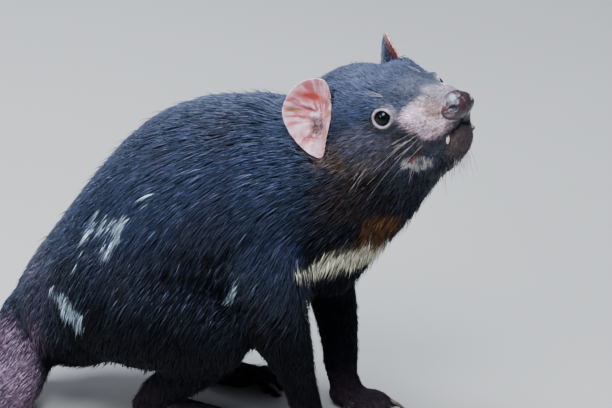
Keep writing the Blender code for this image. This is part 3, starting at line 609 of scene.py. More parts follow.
def tones(points, normals, draw):
    """The colour of skin or hair at points of the body's frame, with painted shade where the hair faces down
    or lies in shade and painted sheen on the upper body. Draw is a number from 0 to 1 for each.
    """
    on_head = moved(moved(points, BODY), HEAD.inverted())
    mirror = on_head.copy()
    mirror[:, 1] = np.abs(mirror[:, 1])
    streak = drift(points, 2.8, 77)
    lit_from_above = smooth_step(normals[:, 2], -0.35, 0.75)
    side = smooth_step(normals[:, 2], -0.25, 0.2) * (1 - 0.7 * smooth_step(normals[:, 2], 0.45, 0.95))
    # Painted shade: hair that faces down is darker and hair that faces up is lighter
    tone = mixed(SHADED_UNDER_HAIR, BLACK_HAIR, lit_from_above)
    neck = near(points, (42, -44, 228), (44, 44, 44))
    # Painted sheen: blue on the upper body where the hair faces sideways
    blue_sheen = side * smooth_step(points[:, 2], 132, 182) * (0.55 + 0.45 * streak) * (1 - 0.65 * neck)
    tone = mixed(tone, BLUE_SHEEN_HAIR, blue_sheen)
    tone = mixed(tone, BROWN_HAIR, 0.5 * smooth_step(drift(points, 26.0, 5), 0.1, 0.8))
    # Painted shade where the coat lies in its own shade
    tone = mixed(tone, SHADED_UNDER_HAIR, shaded_share(points, normals) * 0.65)
    # Pale frosted hairs as painted sheen, more where the coat faces up and high on the body
    frosted_sheen = (0.05 + 0.13 * lit_from_above + 0.09 * streak) * smooth_step(points[:, 2], 90, 170)
    tone = mixed(tone, FROST_SHEEN_HAIR, np.where(np.abs(draw - 0.9) < frosted_sheen / 2, 0.8, 0.0))
    # Painted sheen: pale frost hair in streaks on the top of the head
    crown_sheen = near(mirror, (-60, 14, 18), (42, 46, 28)) * 0.85
    lit = np.where(draw + 0.5 * streak < 0.44, 0.92, 0.06)
    tone = mixed(tone, FROST_SHEEN_HAIR, np.clip(crown_sheen, 0, 1) * lit)
    cheek = near(mirror, (-14, 44, -26), (34, 26, 24))
    tone = mixed(tone, (0.150, 0.125, 0.140), cheek * np.where(draw + 0.5 * streak < 0.5, 0.85, 0.2))
    low_cheek = near(mirror, (-28, 50, -42), (20, 14, 11))
    tone = mixed(tone, (0.20, 0.155, 0.15), low_cheek * np.where(draw + 0.5 * streak < 0.5, 0.8, 0.2))
    jaw = near(mirror, (-30, 44, -62), (44, 34, 20))
    tone = mixed(tone, (0.014, 0.009, 0.007), jaw * 0.85)
    below_ear = near(mirror, (-62, 52, -34), (14, 14, 18)) + near(mirror, (-44, 56, -30), (10, 10, 14))
    tone = mixed(tone, (0.135, 0.088, 0.052), np.clip(below_ear, 0, 1) * np.where(draw < 0.7, 0.95, 0.4))
    nape = near(points, (46, -44, 218), (26, 26, 24))
    tone = mixed(tone, (0.034, 0.021, 0.015), nape * np.where(draw + 0.4 * streak < 0.55, 0.9, 0.5))
    throat = near(points, (76, -32, 190), (19, 22, 22)) + near(points, (60, -26, 176), (22, 26, 10)) * 0.6
    tone = mixed(tone, TAN_HAIR, np.clip(throat, 0, 1) * np.where(draw + 0.3 * streak < 0.6, 0.95, 0.3))
    along_tail = -points[:, 1] - 0.35 * (points[:, 0] + 228)
    tail = smooth_step(along_tail + 6 * drift(points, 9.0, 78), 50, 74) * smooth_step(-points[:, 0], 190, 212)
    tail = tail * (1 - smooth_step(points[:, 2], 70, 96))
    tail_hair = mixed(TAIL_HAIR, (0.030, 0.022, 0.032), 0.9 * smooth_step(along_tail, 92, 150))
    tone = mixed(tone, tail_hair, tail * np.where(draw + 0.4 * streak < 0.7, 1.0, 0.35))
    # Painted sheen: purple-grey hair on the rump
    rump_sheen = near(points, (-214, -62, 114), (34, 40, 32)) * (1 - tail)
    tone = mixed(tone, (0.105, 0.080, 0.130), rump_sheen * np.where(draw + 0.5 * streak < 0.4, 0.8, 0.15))
    feet = 1 - smooth_step(points[:, 2], 10, 46)
    tone = mixed(tone, FOOT_HAIR, feet * (1 - tail))
    white = stroke_share(points, WHITE_STROKES)
    tone = mixed(tone, WHITE_HAIR, np.where(draw < white * 0.95, 0.95, white * 0.10))
    cream = stroke_share(points, CREAM_STROKES)
    tone = mixed(tone, CREAM_HAIR, np.where(draw < cream * 1.1, 0.95, cream * 0.2))
    tone = tone * (1 + 0.35 * streak)[:, None]
    return face_tones(tone, mirror, draw)


def face_tones(tone, h, draw):
    """Adds the face's colours, with painted shade over the upper lip and along the mouth's line, at points of
    the head's frame with both sides folded on the left.
    """
    wander = 2.6 * drift(h, 7.0, 31) + 1.3 * drift(h, 3.0, 32)
    fine = drift(h, 1.6, 33)
    front = smooth_step(h[:, 0] + wander, -12, 8)
    grey = front * smooth_step(h[:, 2], -58, -38)
    tone = mixed(tone, GREY_HAIR, grey * np.where(draw < 0.5, 0.62, 0.2))
    pink = near(h + wander[:, None] * np.array([1, 0, 1]), (31, 18, -7.5), (25, 30, 17))
    pink = pink * smooth_step(h[:, 0] + 0.5 * wander - 1.1 * np.maximum(h[:, 2] + 3, 0), 7, 16)
    bare = mixed(PINK_SKIN, LILAC_SKIN, smooth_step(h[:, 2] + 0.5 * wander, -2, 9))
    tan = near(h, (41, 15, 0), (10, 12, 9)) + near(h, (28, 13, 6), (16, 10, 7)) * (0.7 + 0.6 * fine)
    bare = mixed(bare, (0.25, 0.155, 0.115), np.clip(tan, 0, 1) * 0.85)
    freckles = smooth_step(drift(h, 1.1, 35) + 0.5 * fine, -0.05, 0.45)
    bare = mixed(bare, (0.20, 0.10, 0.09), freckles * (0.35 + 0.35 * smooth_step(h[:, 0], 20, 38)))
    bare = bare * np.where(draw < 0.08, 0.5, 1.15)[:, None]
    tone = mixed(tone, bare, np.clip(pink * 1.25, 0, 1) * np.where(draw < 0.90, 1.0, 0.3))
    top = near(h, (34, 0, 8), (18, 9, 8))
    tone = mixed(tone, mixed((0.40, 0.36, 0.44), (0.20, 0.15, 0.15), 0.5 + 0.6 * fine), top * 0.9)
    brow = near(h, (3, 18, 9.5), (14, 8, 7))
    tone = mixed(tone, (0.012, 0.011, 0.016), brow * 0.85)
    chin = near(h, (44, 0, -36), (14, 17, 16))
    tone = mixed(tone, CHIN_SKIN, np.clip(chin * 1.3, 0, 1) * 0.9)
    under_chin = near(h, (32, 0, -55), (30, 24, 13))
    tone = mixed(tone, (0.016, 0.0095, 0.0075), under_chin * 0.9)
    # Painted shadow under the whisker pad, over the upper lip, with a few pale hairs in it
    shaded_upper_lip = near(h, (24, 26, -29), (22, 9, 6.5))
    tone = mixed(tone, (0.045, 0.036, 0.042), np.clip(shaded_upper_lip * 1.2, 0, 1) * 0.85)
    tone = mixed(tone, (0.20, 0.17, 0.19), shaded_upper_lip * np.where(draw + 0.5 * fine < 0.35, 0.8, 0.0))
    comb = drift(h * np.array([1, 1, 0.25]) + np.array([0, 0, 60]), 1.5, 34)
    lip = near(h + wander[:, None] * 0.6, (14, 25, -44), (18, 9, 6.2))
    lip = lip * (1 - 0.6 * smooth_step(h[:, 0], 15, 30))
    tone = mixed(tone, LIP_HAIR, np.clip(lip * 1.5, 0, 1) * np.clip(0.75 + 1.3 * comb, 0.1, 1))
    far = from_mouth(h)
    # Painted shade beside the mouth's line, below it
    dark = (1 - smooth_step(far, 1.6, 4.2)) * smooth_step(-h[:, 2], 20, 25)
    tone = mixed(tone, (0.020, 0.014, 0.016), dark * 0.8)
    flesh = lip_flesh(h)
    tone = mixed(tone, LIP_SKIN, np.clip(flesh * 1.5, 0, 1))
    # Painted shade, near black, in the crease of the mouth's line
    tone = mixed(tone, (0.006, 0.003, 0.003), 1 - smooth_step(far, 0.9, 1.7))
    pad = near(h, (-18, 47, -37), (6, 6, 5))
    tone = mixed(tone, (0.17, 0.14, 0.16), pad * np.where(draw < 0.7, 0.8, 0.3))
    return lid_tones(tone, h, draw)


def lip_flesh(h):
    """How much of the wet flesh of the lower lip shows, behind the corner of the chin."""
    line = -40.7 + (h[:, 0] - 9) * 0.49
    under_line = 1 - smooth_step(h[:, 2] - line, -0.2, 1.6)
    along = smooth_step(h[:, 0], 5.5, 9) * (1 - smooth_step(h[:, 0], 19, 25)) * (h[:, 1] > 12)
    return under_line * along * (1 - smooth_step(from_mouth(h), 2.4, 3.9))


def eye_rim(h):
    """Distance round the eye's axis, the bare rim's reach there and how far forwards, at folded points."""
    from_eye = h - np.array(eye_centre(1))
    axis = np.array(EYE_AXIS)
    out = from_eye @ axis
    across = from_eye - np.outer(out, axis)
    ring = np.linalg.norm(across, axis=1)
    turn = np.arctan2(across[:, 2], across[:, 0])
    low = np.clip(-np.sin(turn), 0, 1)
    behind = np.clip(-np.cos(turn + 0.5), 0, 1)
    ahead = 0.5 + 0.5 * np.cos(turn - 0.35)
    return ring, 7.0 + 0.9 * low + 0.8 * behind + 3.4 * ahead**7, ahead, out


def lid_tones(tone, h, draw):
    """The pale bare rim round the eye, widest at its front corner and below."""
    ring, reach, ahead, out = eye_rim(h)
    rim = (1 - smooth_step(ring, reach - 0.2, reach + 0.7)) * (out > -2)
    tone = mixed(tone, LID_SKIN, rim * (0.9 + 0.35 * np.minimum(drift(h, 1.3, 36), 0)))
    wisps = (1 - smooth_step(ring, reach, reach + 4.5)) * ahead**6 * (out > -4)
    tone = mixed(tone, (0.55, 0.50, 0.52), wisps * np.where(draw < 0.6, 0.9, 0.2))
    edge = (1 - smooth_step(ring, 5.8, 6.35)) * (out > -2)
    return mixed(tone, (0.02, 0.016, 0.02), edge)


# Skin

LIP_LINE = [
    (50, 0, -16.5), (47.5, 2, -20.5), (47, 7, -22.5), (46.2, 12, -25.6), (42.6, 17, -28.2), (33.5, 22, -30.8),
    (24, 25, -33.5), (15.7, 27, -37), (9, 29, -40.7),
]


def curve_through(places, per_span):
    """A smooth curve through places, as an array of points."""
    points = np.array(places, float)
    padded = np.vstack([2 * points[0] - points[1], points, 2 * points[-1] - points[-2]])
    made = []
    for i in range(len(points) - 1):
        a, b, c, d = padded[i : i + 4]
        for t in np.linspace(0, 1, per_span, endpoint=False):
            made.append(
                0.5 * (2 * b + (c - a) * t + (2 * a - 5 * b + 4 * c - d) * t**2
                       + (3 * b - a - 3 * c + d) * t**3)
            )
    made.append(points[-1])
    return np.array(made)


def filled_flesh(name):
    """All the flesh nodes, the nose and the eyes, grown a little so that they meet, in one mesh."""
    shape = bmesh.new()
    for node in [*FLESH, "nose", "eye_right", "eye_left", "canine_right", "canine_left"]:
        piece = bmesh.new()
        piece.from_mesh(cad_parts[node].data)
        bmesh.ops.remove_doubles(piece, verts=piece.verts, dist=1e-6)
        piece.normal_update()
        for vert in piece.verts:
            vert.co += vert.normal * 0.45 * MM
        mesh = bpy.data.meshes.new("piece")
        piece.to_mesh(mesh)
        piece.free()
        shape.from_mesh(mesh)
    for side in (-1, 1):
        rows, hub = ear_rows(side, rings=8, spokes=30)
        inner = [hub, *[row for row in rows[:6]]]
        points = np.concatenate([inner[0][None], *inner[1:]])
        mesh = ear_plate(points, 30, 6, 2.2)
        mesh.transform(HEAD)
        shape.from_mesh(mesh)
    mesh = bpy.data.meshes.new(name)
    shape.to_mesh(mesh)
    shape.free()
    return new_object(name, mesh)


def ear_plate(points, spokes, rings, half_thickness):
    """A closed plate on both sides of an ear's inner rows, to fill the slot round its root."""
    shape = bmesh.new()
    verts = [shape.verts.new(point) for point in points]
    for k in range(spokes):
        following = (k + 1) % spokes
        shape.faces.new((verts[0], verts[1 + k], verts[1 + following]))
        for i in range(rings - 1):
            near_row, far_row = 1 + i * spokes, 1 + (i + 1) * spokes
            shape.faces.new(
                (
                    verts[near_row + k], verts[far_row + k],
                    verts[far_row + following], verts[near_row + following],
                )
            )
    mesh = bpy.data.meshes.new("ear_plate")
    shape.to_mesh(mesh)
    shape.free()
    obj = new_object("ear_plate", mesh)
    solid = obj.modifiers.new("Thickness", "SOLIDIFY")
    solid.thickness = 2 * half_thickness
    solid.offset = 0.0
    baked(obj)
    made = obj.data.copy()
    bpy.data.objects.remove(obj)
    return made


def refine(obj, zones):
    """Splits the faces in each zone, given as (centre, radius, rounds) in the head's frame."""
    shape = bmesh.new()
    shape.from_mesh(obj.data)
    for centre, radius, rounds in zones:
        place = HEAD @ Vector(centre)
        for _ in range(rounds):
            edges = {
                edge for vert in shape.verts if (vert.co - place).length < radius * MM
                for edge in vert.link_edges
            }
            bmesh.ops.subdivide_edges(shape, edges=list(edges), cuts=1, use_grid_fill=True)
    bmesh.ops.triangulate(shape, faces=[face for face in shape.faces if len(face.verts) > 4])
    shape.to_mesh(obj.data)
    shape.free()
    return obj


def sculpt_lids(h):
    """Raises round lids close over each eyeball, and sinks what lies behind the ball's front."""
    for side in (-1, 1):
        centre, axis = np.array(eye_centre(side)), np.array(mirrored(EYE_AXIS, side))
        q = h - centre
        out = q @ axis
        across = q - np.outer(out, axis)
        ring = np.linalg.norm(across, axis=1)
        turn = np.arctan2(across[:, 2], across[:, 0])
        opening = LID_OPENING * (1 + 0.13 * np.cos(turn) ** 8 - 0.03 * np.sin(turn))
        ball = np.sqrt(np.clip(EYE_RADIUS**2 - ring**2, 0, None))
        share = np.clip((ring - opening) / 1.5, 0, 1)
        brim = np.sqrt(np.clip(EYE_RADIUS**2 - opening**2, 0, None)) + 0.35
        lid = brim + 1.15 * np.sqrt(np.clip(1 - (1 - share) ** 2, 0, 1))
        lid -= 0.55 * np.clip(ring - opening - 1.5, 0, 9)
        fold = -0.45 * np.exp(-(((ring - 8.9) / 0.5) ** 2)) * (np.sin(turn) > -0.5)
        fold += -0.3 * np.exp(-(((ring - 10.6) / 0.5) ** 2)) * (np.sin(turn) < 0.2)
        target = np.where(ring < opening, ball - 1.2, lid) + fold
        hold = (1 - smooth_step(ring, 8.2, 11.5)) * (out > 0)
        h = h + np.outer((target - out) * hold, axis)
    return h


def from_mouth(h):
    """How far points of the head's frame are from the line of the mouth, up to 30."""
    mirror = h * np.array([1, 0, 1]) + np.abs(h) * np.array([0, 1, 0])
    far = np.full(len(h), 30.0)
    some = np.flatnonzero(np.linalg.norm(mirror - np.array([28, 16, -29]), axis=1) < 45)
    line = curve_through(LIP_LINE, 6)
    for a, b in zip(line, line[1:]):
        t = np.clip((mirror[some] - a) @ (b - a) / ((b - a) @ (b - a)), 0, 1)
        here = np.linalg.norm(mirror[some] - a - t[:, None] * (b - a), axis=1)
        far[some] = np.minimum(far[some], here)
    return far


def sculpt_mouth(h, normals):
    """Cuts the line of the mouth and rolls the lips beside it."""
    far = from_mouth(h)
    depth = 1.0 * np.exp(-((far / 3.4) ** 2)) - 3.8 * np.exp(-((far / 1.3) ** 2))
    return h + normals * depth[:, None]


def sculpt_folds(h, normals):
    """Low folds and pits of thin skin on the muzzle and cheeks."""
    hold = near(np.abs(h) * np.array([1, 1, 0]) + h * np.array([0, 0, 1]), (26, 18, -14), (34, 30, 32))
    pits = drift(h, 2.6, 41) * 0.16 + drift(h * np.array([0.45, 1, 1]), 3.6, 42) * 0.28
    return h + normals * (pits * hold)[:, None]


def make_skin():
    """One closed surface inside the flesh by the coat's depth, with lids, lips and folds."""
    skin = filled_flesh("skin")
    remesh = skin.modifiers.new("Fuse", "REMESH")
    remesh.mode = "VOXEL"
    remesh.voxel_size = SKIN_VOXEL * MM
    baked(skin)
    refine(skin, [((26, 0, -16), 52, 1), (eye_centre(-1), 14, 1), (eye_centre(1), 14, 1)])
    mesh = skin.data
    to_head = HEAD.inverted()
    co = coordinates(mesh)
    h = moved(co, to_head)
    pairs = edges_of(mesh)
    face_zone = near(h, (26, 0, -16), (56, 56, 56))
    feet_zone = 1 - smooth_step(co[:, 2], 0.012, 0.03)
    weight = 1 - 0.35 * np.maximum(face_zone, feet_zone)
    co = smoothed(co, pairs, SKIN_SMOOTHING, weight)
    set_coordinates(mesh, co)
    normals = normals_of(mesh)
    body_points = moved(co, BODY.inverted())
    _, numbers = coat_at(body_points, normals)
    depth = smoothed(np.repeat(numbers[:, 1:2], 3, axis=1), pairs, 20, np.ones(len(co)))[:, 0]
    ground = smooth_step(co[:, 2], 0.0, 0.02)
    co = co - normals * ((depth * (0.35 + 0.65 * ground) + 0.45) * MM)[:, None]
    co[:, 2] = np.maximum(co[:, 2], 0.3 * MM)
    set_coordinates(mesh, co)
    turn = np.array(HEAD.to_3x3().normalized())
    h = sculpt_mouth(moved(co, to_head), normals_of(mesh) @ turn)
    h = sculpt_folds(h, normals_of(mesh) @ turn)
    h = kept_behind_ears(sculpt_lids(h))
    set_coordinates(mesh, moved(h, HEAD))
    mesh.shade_smooth()
    return skin


# Ears

EAR_ROOT = Vector((-59, 49, 2))
EAR_OUT = Vector((-0.80, 0.50, 0.42)).normalized()
EAR_FACE = Vector((0.62, 0.76, 0.14)).normalized()
EAR_REACH = 26.5
EAR_INNER_SHARE = 0.45
EAR_LOWER_REACH = 0.78
EAR_LEAN = 8.0
EAR_HALF_HEIGHT = 31.0
EAR_CUP = 12.0
EAR_FOLD = 2.0


def ear_axes(side):
    out, face = mirrored(EAR_OUT, side), mirrored(EAR_FACE, side)
    face = (face - out * face.dot(out)).normalized()
    up = out.cross(face)
    if up.z < 0:
        up = -up
    return np.array(mirrored(EAR_ROOT, side)), np.array(out), np.array(up), np.array(face)


def ear_relief(x, y):
    """Height of the folds inside the cup, at mm outwards and mm up from the middle of the rim."""

    def ridge(from_place, to_place, width, height):
        a, b = np.array(from_place, float), np.array(to_place, float)
        place = np.stack([x, y], axis=-1)
        t = np.clip(((place - a) @ (b - a)) / ((b - a) @ (b - a)), 0, 1)
        far = np.linalg.norm(place - a - t[..., None] * (b - a), axis=-1)
        return height * np.exp(-((far / width) ** 2))

    folds = (
        ridge((24, 1), (7, 3), 1.8, -1.3) + ridge((22, 5), (4, 7), 2.6, 1.2)
        + ridge((12, -3), (0, -1), 2.6, 2.4)
        + ridge((1, -6), (-2, -15), 3.0, -1.6) + ridge((8, -6), (5, -15), 2.0, 2.0)
        + ridge((6, -20), (-5, -19), 1.6, -1.3) + ridge((-8, -14), (-8, -27), 3.4, 3.0)
        + ridge((-9, 8), (-8, -8), 2.4, 2.2) + ridge((10, 16), (-2, 12), 3.0, 1.0)
        + ridge((4, 4), (1, -3), 1.3, 1.6) + ridge((-3, -2), (-4, -9), 1.4, 1.8)
        + ridge((14, -8), (9, -14), 1.5, 0.9) + ridge((18, -5), (10, -5), 1.3, -0.7)
    )
    return np.maximum(folds + 0.3 * ear_fan(x, y), -1.5)


def ear_fan(x, y):
    """Fine ribs that fan out from the ear's canal to its rim, from -1 to 1."""
    x, y = np.ravel(x), np.ravel(y)
    turn = np.arctan2(y + 4, x + 3)
    radius = np.hypot(x + 3, y + 4)
    level = np.zeros_like(turn)
    place = np.stack([turn * 11, radius * 0.09, level], axis=1)
    fine = np.stack([turn * 27, radius * 0.16, level], axis=1)
    ribs = 1.1 * drift(place, 1.0, 52) + 0.7 * drift(fine, 1.0, 53)
    return np.clip(ribs, -1, 1) * smooth_step(radius, 4, 10)


def ear_rows(side, rings, spokes, relief=None):
    """Rows of points of the cupped ear from its hub to its rim, in the head's frame, and the hub."""
    root, out, up, face = ear_axes(side)
    rows = []
    for i in range(rings + 1):
        share = 0.06 + 0.94 * i / rings
        angle = 2 * np.pi * np.arange(spokes) / spokes
        c, s = np.cos(angle), np.sin(angle)
        narrowing = np.where(s > 0, 1.0, 1.0 + (1.0 - EAR_LOWER_REACH) * s)
        reach = EAR_REACH * narrowing * np.where(c > 0, 1.0, EAR_INNER_SHARE)
        x = (reach * c - EAR_LEAN * np.minimum(s, 0) ** 2) * share
        y = EAR_HALF_HEIGHT * s * share
        depth = EAR_CUP * (share**2 - 1.0) - EAR_FOLD * math.sin(math.pi * share) * (1 - s)
        if relief:
            held = 1 - 0.8 * smooth_step(np.full(spokes, share), 0.86, 1.0)
            depth = depth + relief(x, y) * held
            depth = depth + 0.22 * share**3 * np.sin(26 * angle + 3 * np.sin(3 * angle))
        rows.append(root + np.outer(x, out) + np.outer(y, up) + np.outer(depth, face))
    return rows, root - face * EAR_CUP


def leaf_place(h, side):
    """For points of the head's frame: their share of the way to an ear's rim, and height over its leaf."""
    root, out, up, face = ear_axes(side)
    q = h - root
    s = np.clip(q @ up / EAR_HALF_HEIGHT, -1, 1)
    x = q @ out + EAR_LEAN * np.minimum(s, 0) ** 2
    reach = EAR_REACH * np.where(s > 0, 1.0, 1.0 + (1.0 - EAR_LOWER_REACH) * s)
    reach = reach * np.where(x > 0, 1.0, EAR_INNER_SHARE)
    share = np.hypot(x / reach, q @ up / EAR_HALF_HEIGHT)
    depth = EAR_CUP * (share**2 - 1.0) - EAR_FOLD * np.sin(np.pi * np.minimum(share, 1)) * (1 - s)
    return share, q @ face - depth


def kept_behind_ears(h):
    """Pushes the skin that fills an ear's slot behind the ear's own inner side."""
    for side in (-1, 1):
        root, out, up, face = ear_axes(side)
        share, height = leaf_place(h, side)
        some = np.flatnonzero((share < 0.98) & (np.abs(height) < 4.0))
        q = h[some] - root
        front = 1.0 - 0.55 * share[some] ** 2 + np.minimum(ear_relief(q @ out, q @ up), 0)
        h[some] += np.outer(np.minimum(front - 0.7 - height[some], 0), face)
    return h


def in_ear(h):
    """Whether points of the head's frame lie against a leaf of an ear, inside its rim."""
    found = np.zeros(len(h), bool)
    for side in (-1, 1):
        share, height = leaf_place(h, side)
        found |= (share < 1.03) & (np.abs(height) < 3.4)
        found |= (share < 0.62) & (np.abs(height) < 9.0)
    return found


def through_ear(points):
    """Whether points lie in an ear's leaf or inside its cup."""
    h = moved(points, HEAD.inverted())
    found = np.zeros(len(h), bool)
    for side in (-1, 1):
        share, height = leaf_place(h, side)
        found |= (share < 0.93) & (height > -1.8) & (height < 4.5)
    return found


def make_ear(side, rings=30, spokes=120):
    """A closed ear, thin at its rim, with its colours."""
    rows, hub = ear_rows(side, rings, spokes, ear_relief)
    root, out, up, face = ear_axes(side)
    plain, _ = ear_rows(side, rings, spokes, lambda x, y: np.minimum(ear_relief(x, y), 0))
    share = np.linspace(0.06, 1, rings + 1)
    front = [row + face * (1.0 - 0.55 * s**2) for row, s in zip(rows, share)]
    back = [row - face * (1.0 - 0.45 * s**2) for row, s in zip(plain, share)]
    lip = root + (front[-1] + back[-1] - 2 * root) / 2 * 1.012
    loops = front + [lip] + back[::-1]
    points = np.concatenate([*loops, (hub + face)[None], (hub - face)[None]])
    k = np.arange(spokes)
    following = (k + 1) % spokes
    last = (len(loops) - 1) * spokes
    caps = np.concatenate([
        np.stack([np.full(spokes, len(points) - 2), following, k], axis=1),
        np.stack([np.full(spokes, len(points) - 1), last + k, last + following], axis=1),
    ])
    mesh = mesh_of_groups("ear", moved(points, HEAD), [ring_faces(len(loops), spokes), caps])
    outward(mesh)
    q = points - root
    inside = np.concatenate([np.ones((rings + 2) * spokes), np.zeros((rings + 1) * spokes), [1, 0]])
    rim = np.concatenate([np.repeat(share, spokes), np.ones(spokes), np.repeat(share[::-1], spokes), [0, 0]])
    set_colours(mesh, ear_tones(q @ out, q @ up, rim, inside))
    return mesh


def ear_tones(x, y, rim, inside):
    """Pink inside with a red blush, an ochre fold, pale edges, a painted highlight and a painted shadow in a
    fold, and black outside.
    """
    place = np.stack([x, y, np.zeros_like(x)], axis=1)

    def spot(centre, radii):
        return near(place, (*centre, 0), (*radii, 1))

    fan = ear_fan(x, y)
    streaks = 0.5 + 0.5 * fan
    specks = drift(place, 1.0, 54) + 0.5 * drift(place, 2.2, 55)
    tone = mixed((0.54, 0.12, 0.15), (0.97, 0.57, 0.67), smooth_step(streaks, 0.1, 0.85))
    tone = mixed(tone, (0.95, 0.72, 0.76), smooth_step(rim, 0.78, 1.0) * (0.1 + 0.8 * streaks))
    tone = mixed(tone, (0.60, 0.10, 0.06), spot((7.5, 14.0), (15, 6.5)) * (0.45 + 0.35 * streaks))
    tone = mixed(tone, (0.42, 0.03, 0.012), spot((7.0, 14.6), (8, 3.2)) * 0.9)
    tone = mixed(tone, (0.42, 0.10, 0.07), spot((-4, 12), (4, 3.0)) * 0.7)
    tone = mixed(tone, (0.50, 0.09, 0.08), spot((12, -1), (8, 4.2)) * (0.35 + 0.5 * streaks))
    tone = mixed(tone, (0.40, 0.24, 0.09), spot((20, 1), (6.5, 2.2)) * 0.8)
    tone = mixed(tone, (0.92, 0.66, 0.80), spot((9, -11), (8, 8)) * (0.35 + 0.4 * streaks))
    # Painted highlight: a bluish-white spot
    tone = mixed(tone, (0.86, 0.82, 1.0), spot((2.5, -1), (4.5, 3.4)) * 0.85)
    tone = mixed(tone, (0.20, 0.06, 0.07), spot((5.5, 3), (5, 1.5)) * 0.9)
    tone = mixed(tone, (0.50, 0.36, 0.34), spot((-1, -9), (7, 10)) * 0.6)
    speckled = smooth_step(specks, -0.25, 0.25) * 0.95
    tone = mixed(tone, (0.12, 0.05, 0.045), spot((-1, -10), (6.5, 10)) * speckled)
    # Painted shadow, speckled, in the fold under the main cup
    tone = mixed(tone, (0.24, 0.10, 0.08), spot((1, -19), (8, 2.6)) * smooth_step(specks, -0.3, 0.2) * 0.85)
    tone = mixed(tone, (0.30, 0.10, 0.12), spot((2, 1), (8, 6)) * smooth_step(specks, 0.25, 0.5) * 0.7)
    tone = mixed(tone, (0.56, 0.32, 0.38), spot((-7, -25), (9, 11)) * 0.85)
    tone = mixed(tone, (0.46, 0.28, 0.12), spot((-9, 5), (3, 4)) * 0.8 + spot((-9, -13), (3, 4)) * 0.8)
    tone = mixed(tone, (0.50, 0.34, 0.20), spot((9, -26), (4, 3)) * 0.6)
    dark = mixed((0.014, 0.013, 0.018), (0.06, 0.035, 0.04), smooth_step(rim, 0.75, 1.0))
    dark = mixed(dark, (0.17, 0.055, 0.05), smooth_step(rim, 0.62, 0.9) * smooth_step(y, 11, 23))
    return mixed(dark, tone, inside)


def add_ears(skin, ears):
    """Joins the ears to the skin's object, sunk in its slots, with their own material."""
    shape = bmesh.new()
    shape.from_mesh(skin.data)
    skin_faces = len(shape.faces)
    for ear in ears.values():
        shape.from_mesh(ear)
    shape.faces.ensure_lookup_table()
    for face in shape.faces[skin_faces:]:
        face.material_index = 1
    shape.to_mesh(skin.data)
    shape.free()
    return skin


# Coat


def unwrap_guide(skin):
    """Where each part of the skin lies on an unwrap of its own shape, read from a coarse copy of it."""
    coarse = new_object("unwrap", skin.data.copy())
    remesh = coarse.modifiers.new("Coarse", "REMESH")
    remesh.mode = "VOXEL"
    remesh.voxel_size = 7 * MM
    baked(coarse)
    bpy.ops.object.select_all(action="DESELECT")
    bpy.context.view_layer.objects.active = coarse
    coarse.select_set(True)
    bpy.ops.object.mode_set(mode="EDIT")
    bpy.ops.mesh.select_all(action="SELECT")
    bpy.ops.uv.smart_project(angle_limit=math.radians(66), island_margin=0.004)
    bpy.ops.object.mode_set(mode="OBJECT")
    mesh = coarse.data
    mesh.calc_loop_triangles()
    uv = np.empty(len(mesh.loops) * 2, np.float32)
    mesh.uv_layers.active.data.foreach_get("uv", uv)
    corners = np.empty(len(mesh.polygons), np.int32)
    mesh.polygons.foreach_get("loop_start", corners)
    loop_verts = np.empty(len(mesh.loops), np.int32)
    mesh.loops.foreach_get("vertex_index", loop_verts)
    co = coordinates(mesh)
    uv = uv.reshape(-1, 2).astype(float)
    sizes = np.diff(np.append(corners, len(mesh.loops)))
    quads = corners[sizes == 4]
    frames = []
    for corner in range(4):
        frames.append((co[loop_verts[quads + corner]], uv[quads + corner]))
    bpy.data.objects.remove(coarse)
    centres = sum(f[0] for f in frames) / 4
    middle_uv = sum(f[1] for f in frames) / 4
    along = frames[1][0] - frames[0][0], frames[3][0] - frames[0][0]
    along_uv = frames[1][1] - frames[0][1], frames[3][1] - frames[0][1]
    tree = KDTree(len(centres))
    for i, centre in enumerate(centres):
        tree.insert(centre, i)
    tree.balance()
    return tree, centres, middle_uv, along, along_uv


def places_on(guide, points):
    """UV places of points, from the coarse face nearest to each."""
    tree, centres, middle_uv, along, along_uv = guide
    found = np.array([tree.find(point)[1] for point in points])
    from_middle = points - centres[found]
    place = middle_uv[found].copy()
    for edge, edge_uv in zip(along, along_uv):
        length = (edge[found] ** 2).sum(axis=1)
        share = (from_middle * edge[found]).sum(axis=1) / np.maximum(length, 1e-12)
        place += edge_uv[found] * np.clip(share, -0.6, 0.6)[:, None]
    return np.clip(place, PATCH, 1 - PATCH)


def face_samples(mesh, rng, per_area, total):
    """About total random places on the faces, spread in proportion to per_area(points, normals)."""
    mesh.calc_loop_triangles()
    count = len(mesh.loop_triangles)
    corners = np.empty(count * 3, np.int32)
    mesh.loop_triangles.foreach_get("vertices", corners)
    area = np.empty(count, np.float32)
    mesh.loop_triangles.foreach_get("area", area)
    corners = corners.reshape(-1, 3)
    co, normal = coordinates(mesh), normals_of(mesh)
    centre = co[corners].mean(axis=1)
    facing = unit(normal[corners].mean(axis=1))
    wanted = per_area(centre, facing) * area
    wanted *= total * 1.0 / wanted.sum()
    whole = np.floor(wanted + rng.random(count)).astype(int)
    chosen = np.repeat(np.arange(count), whole)
    a, b = rng.random(len(chosen)), rng.random(len(chosen))
    flip = a + b > 1
    a[flip], b[flip] = 1 - a[flip], 1 - b[flip]
    shares = np.stack([1 - a - b, a, b], axis=1)[:, :, None]
    return (co[corners[chosen]] * shares).sum(axis=1), unit((normal[corners[chosen]] * shares).sum(axis=1))


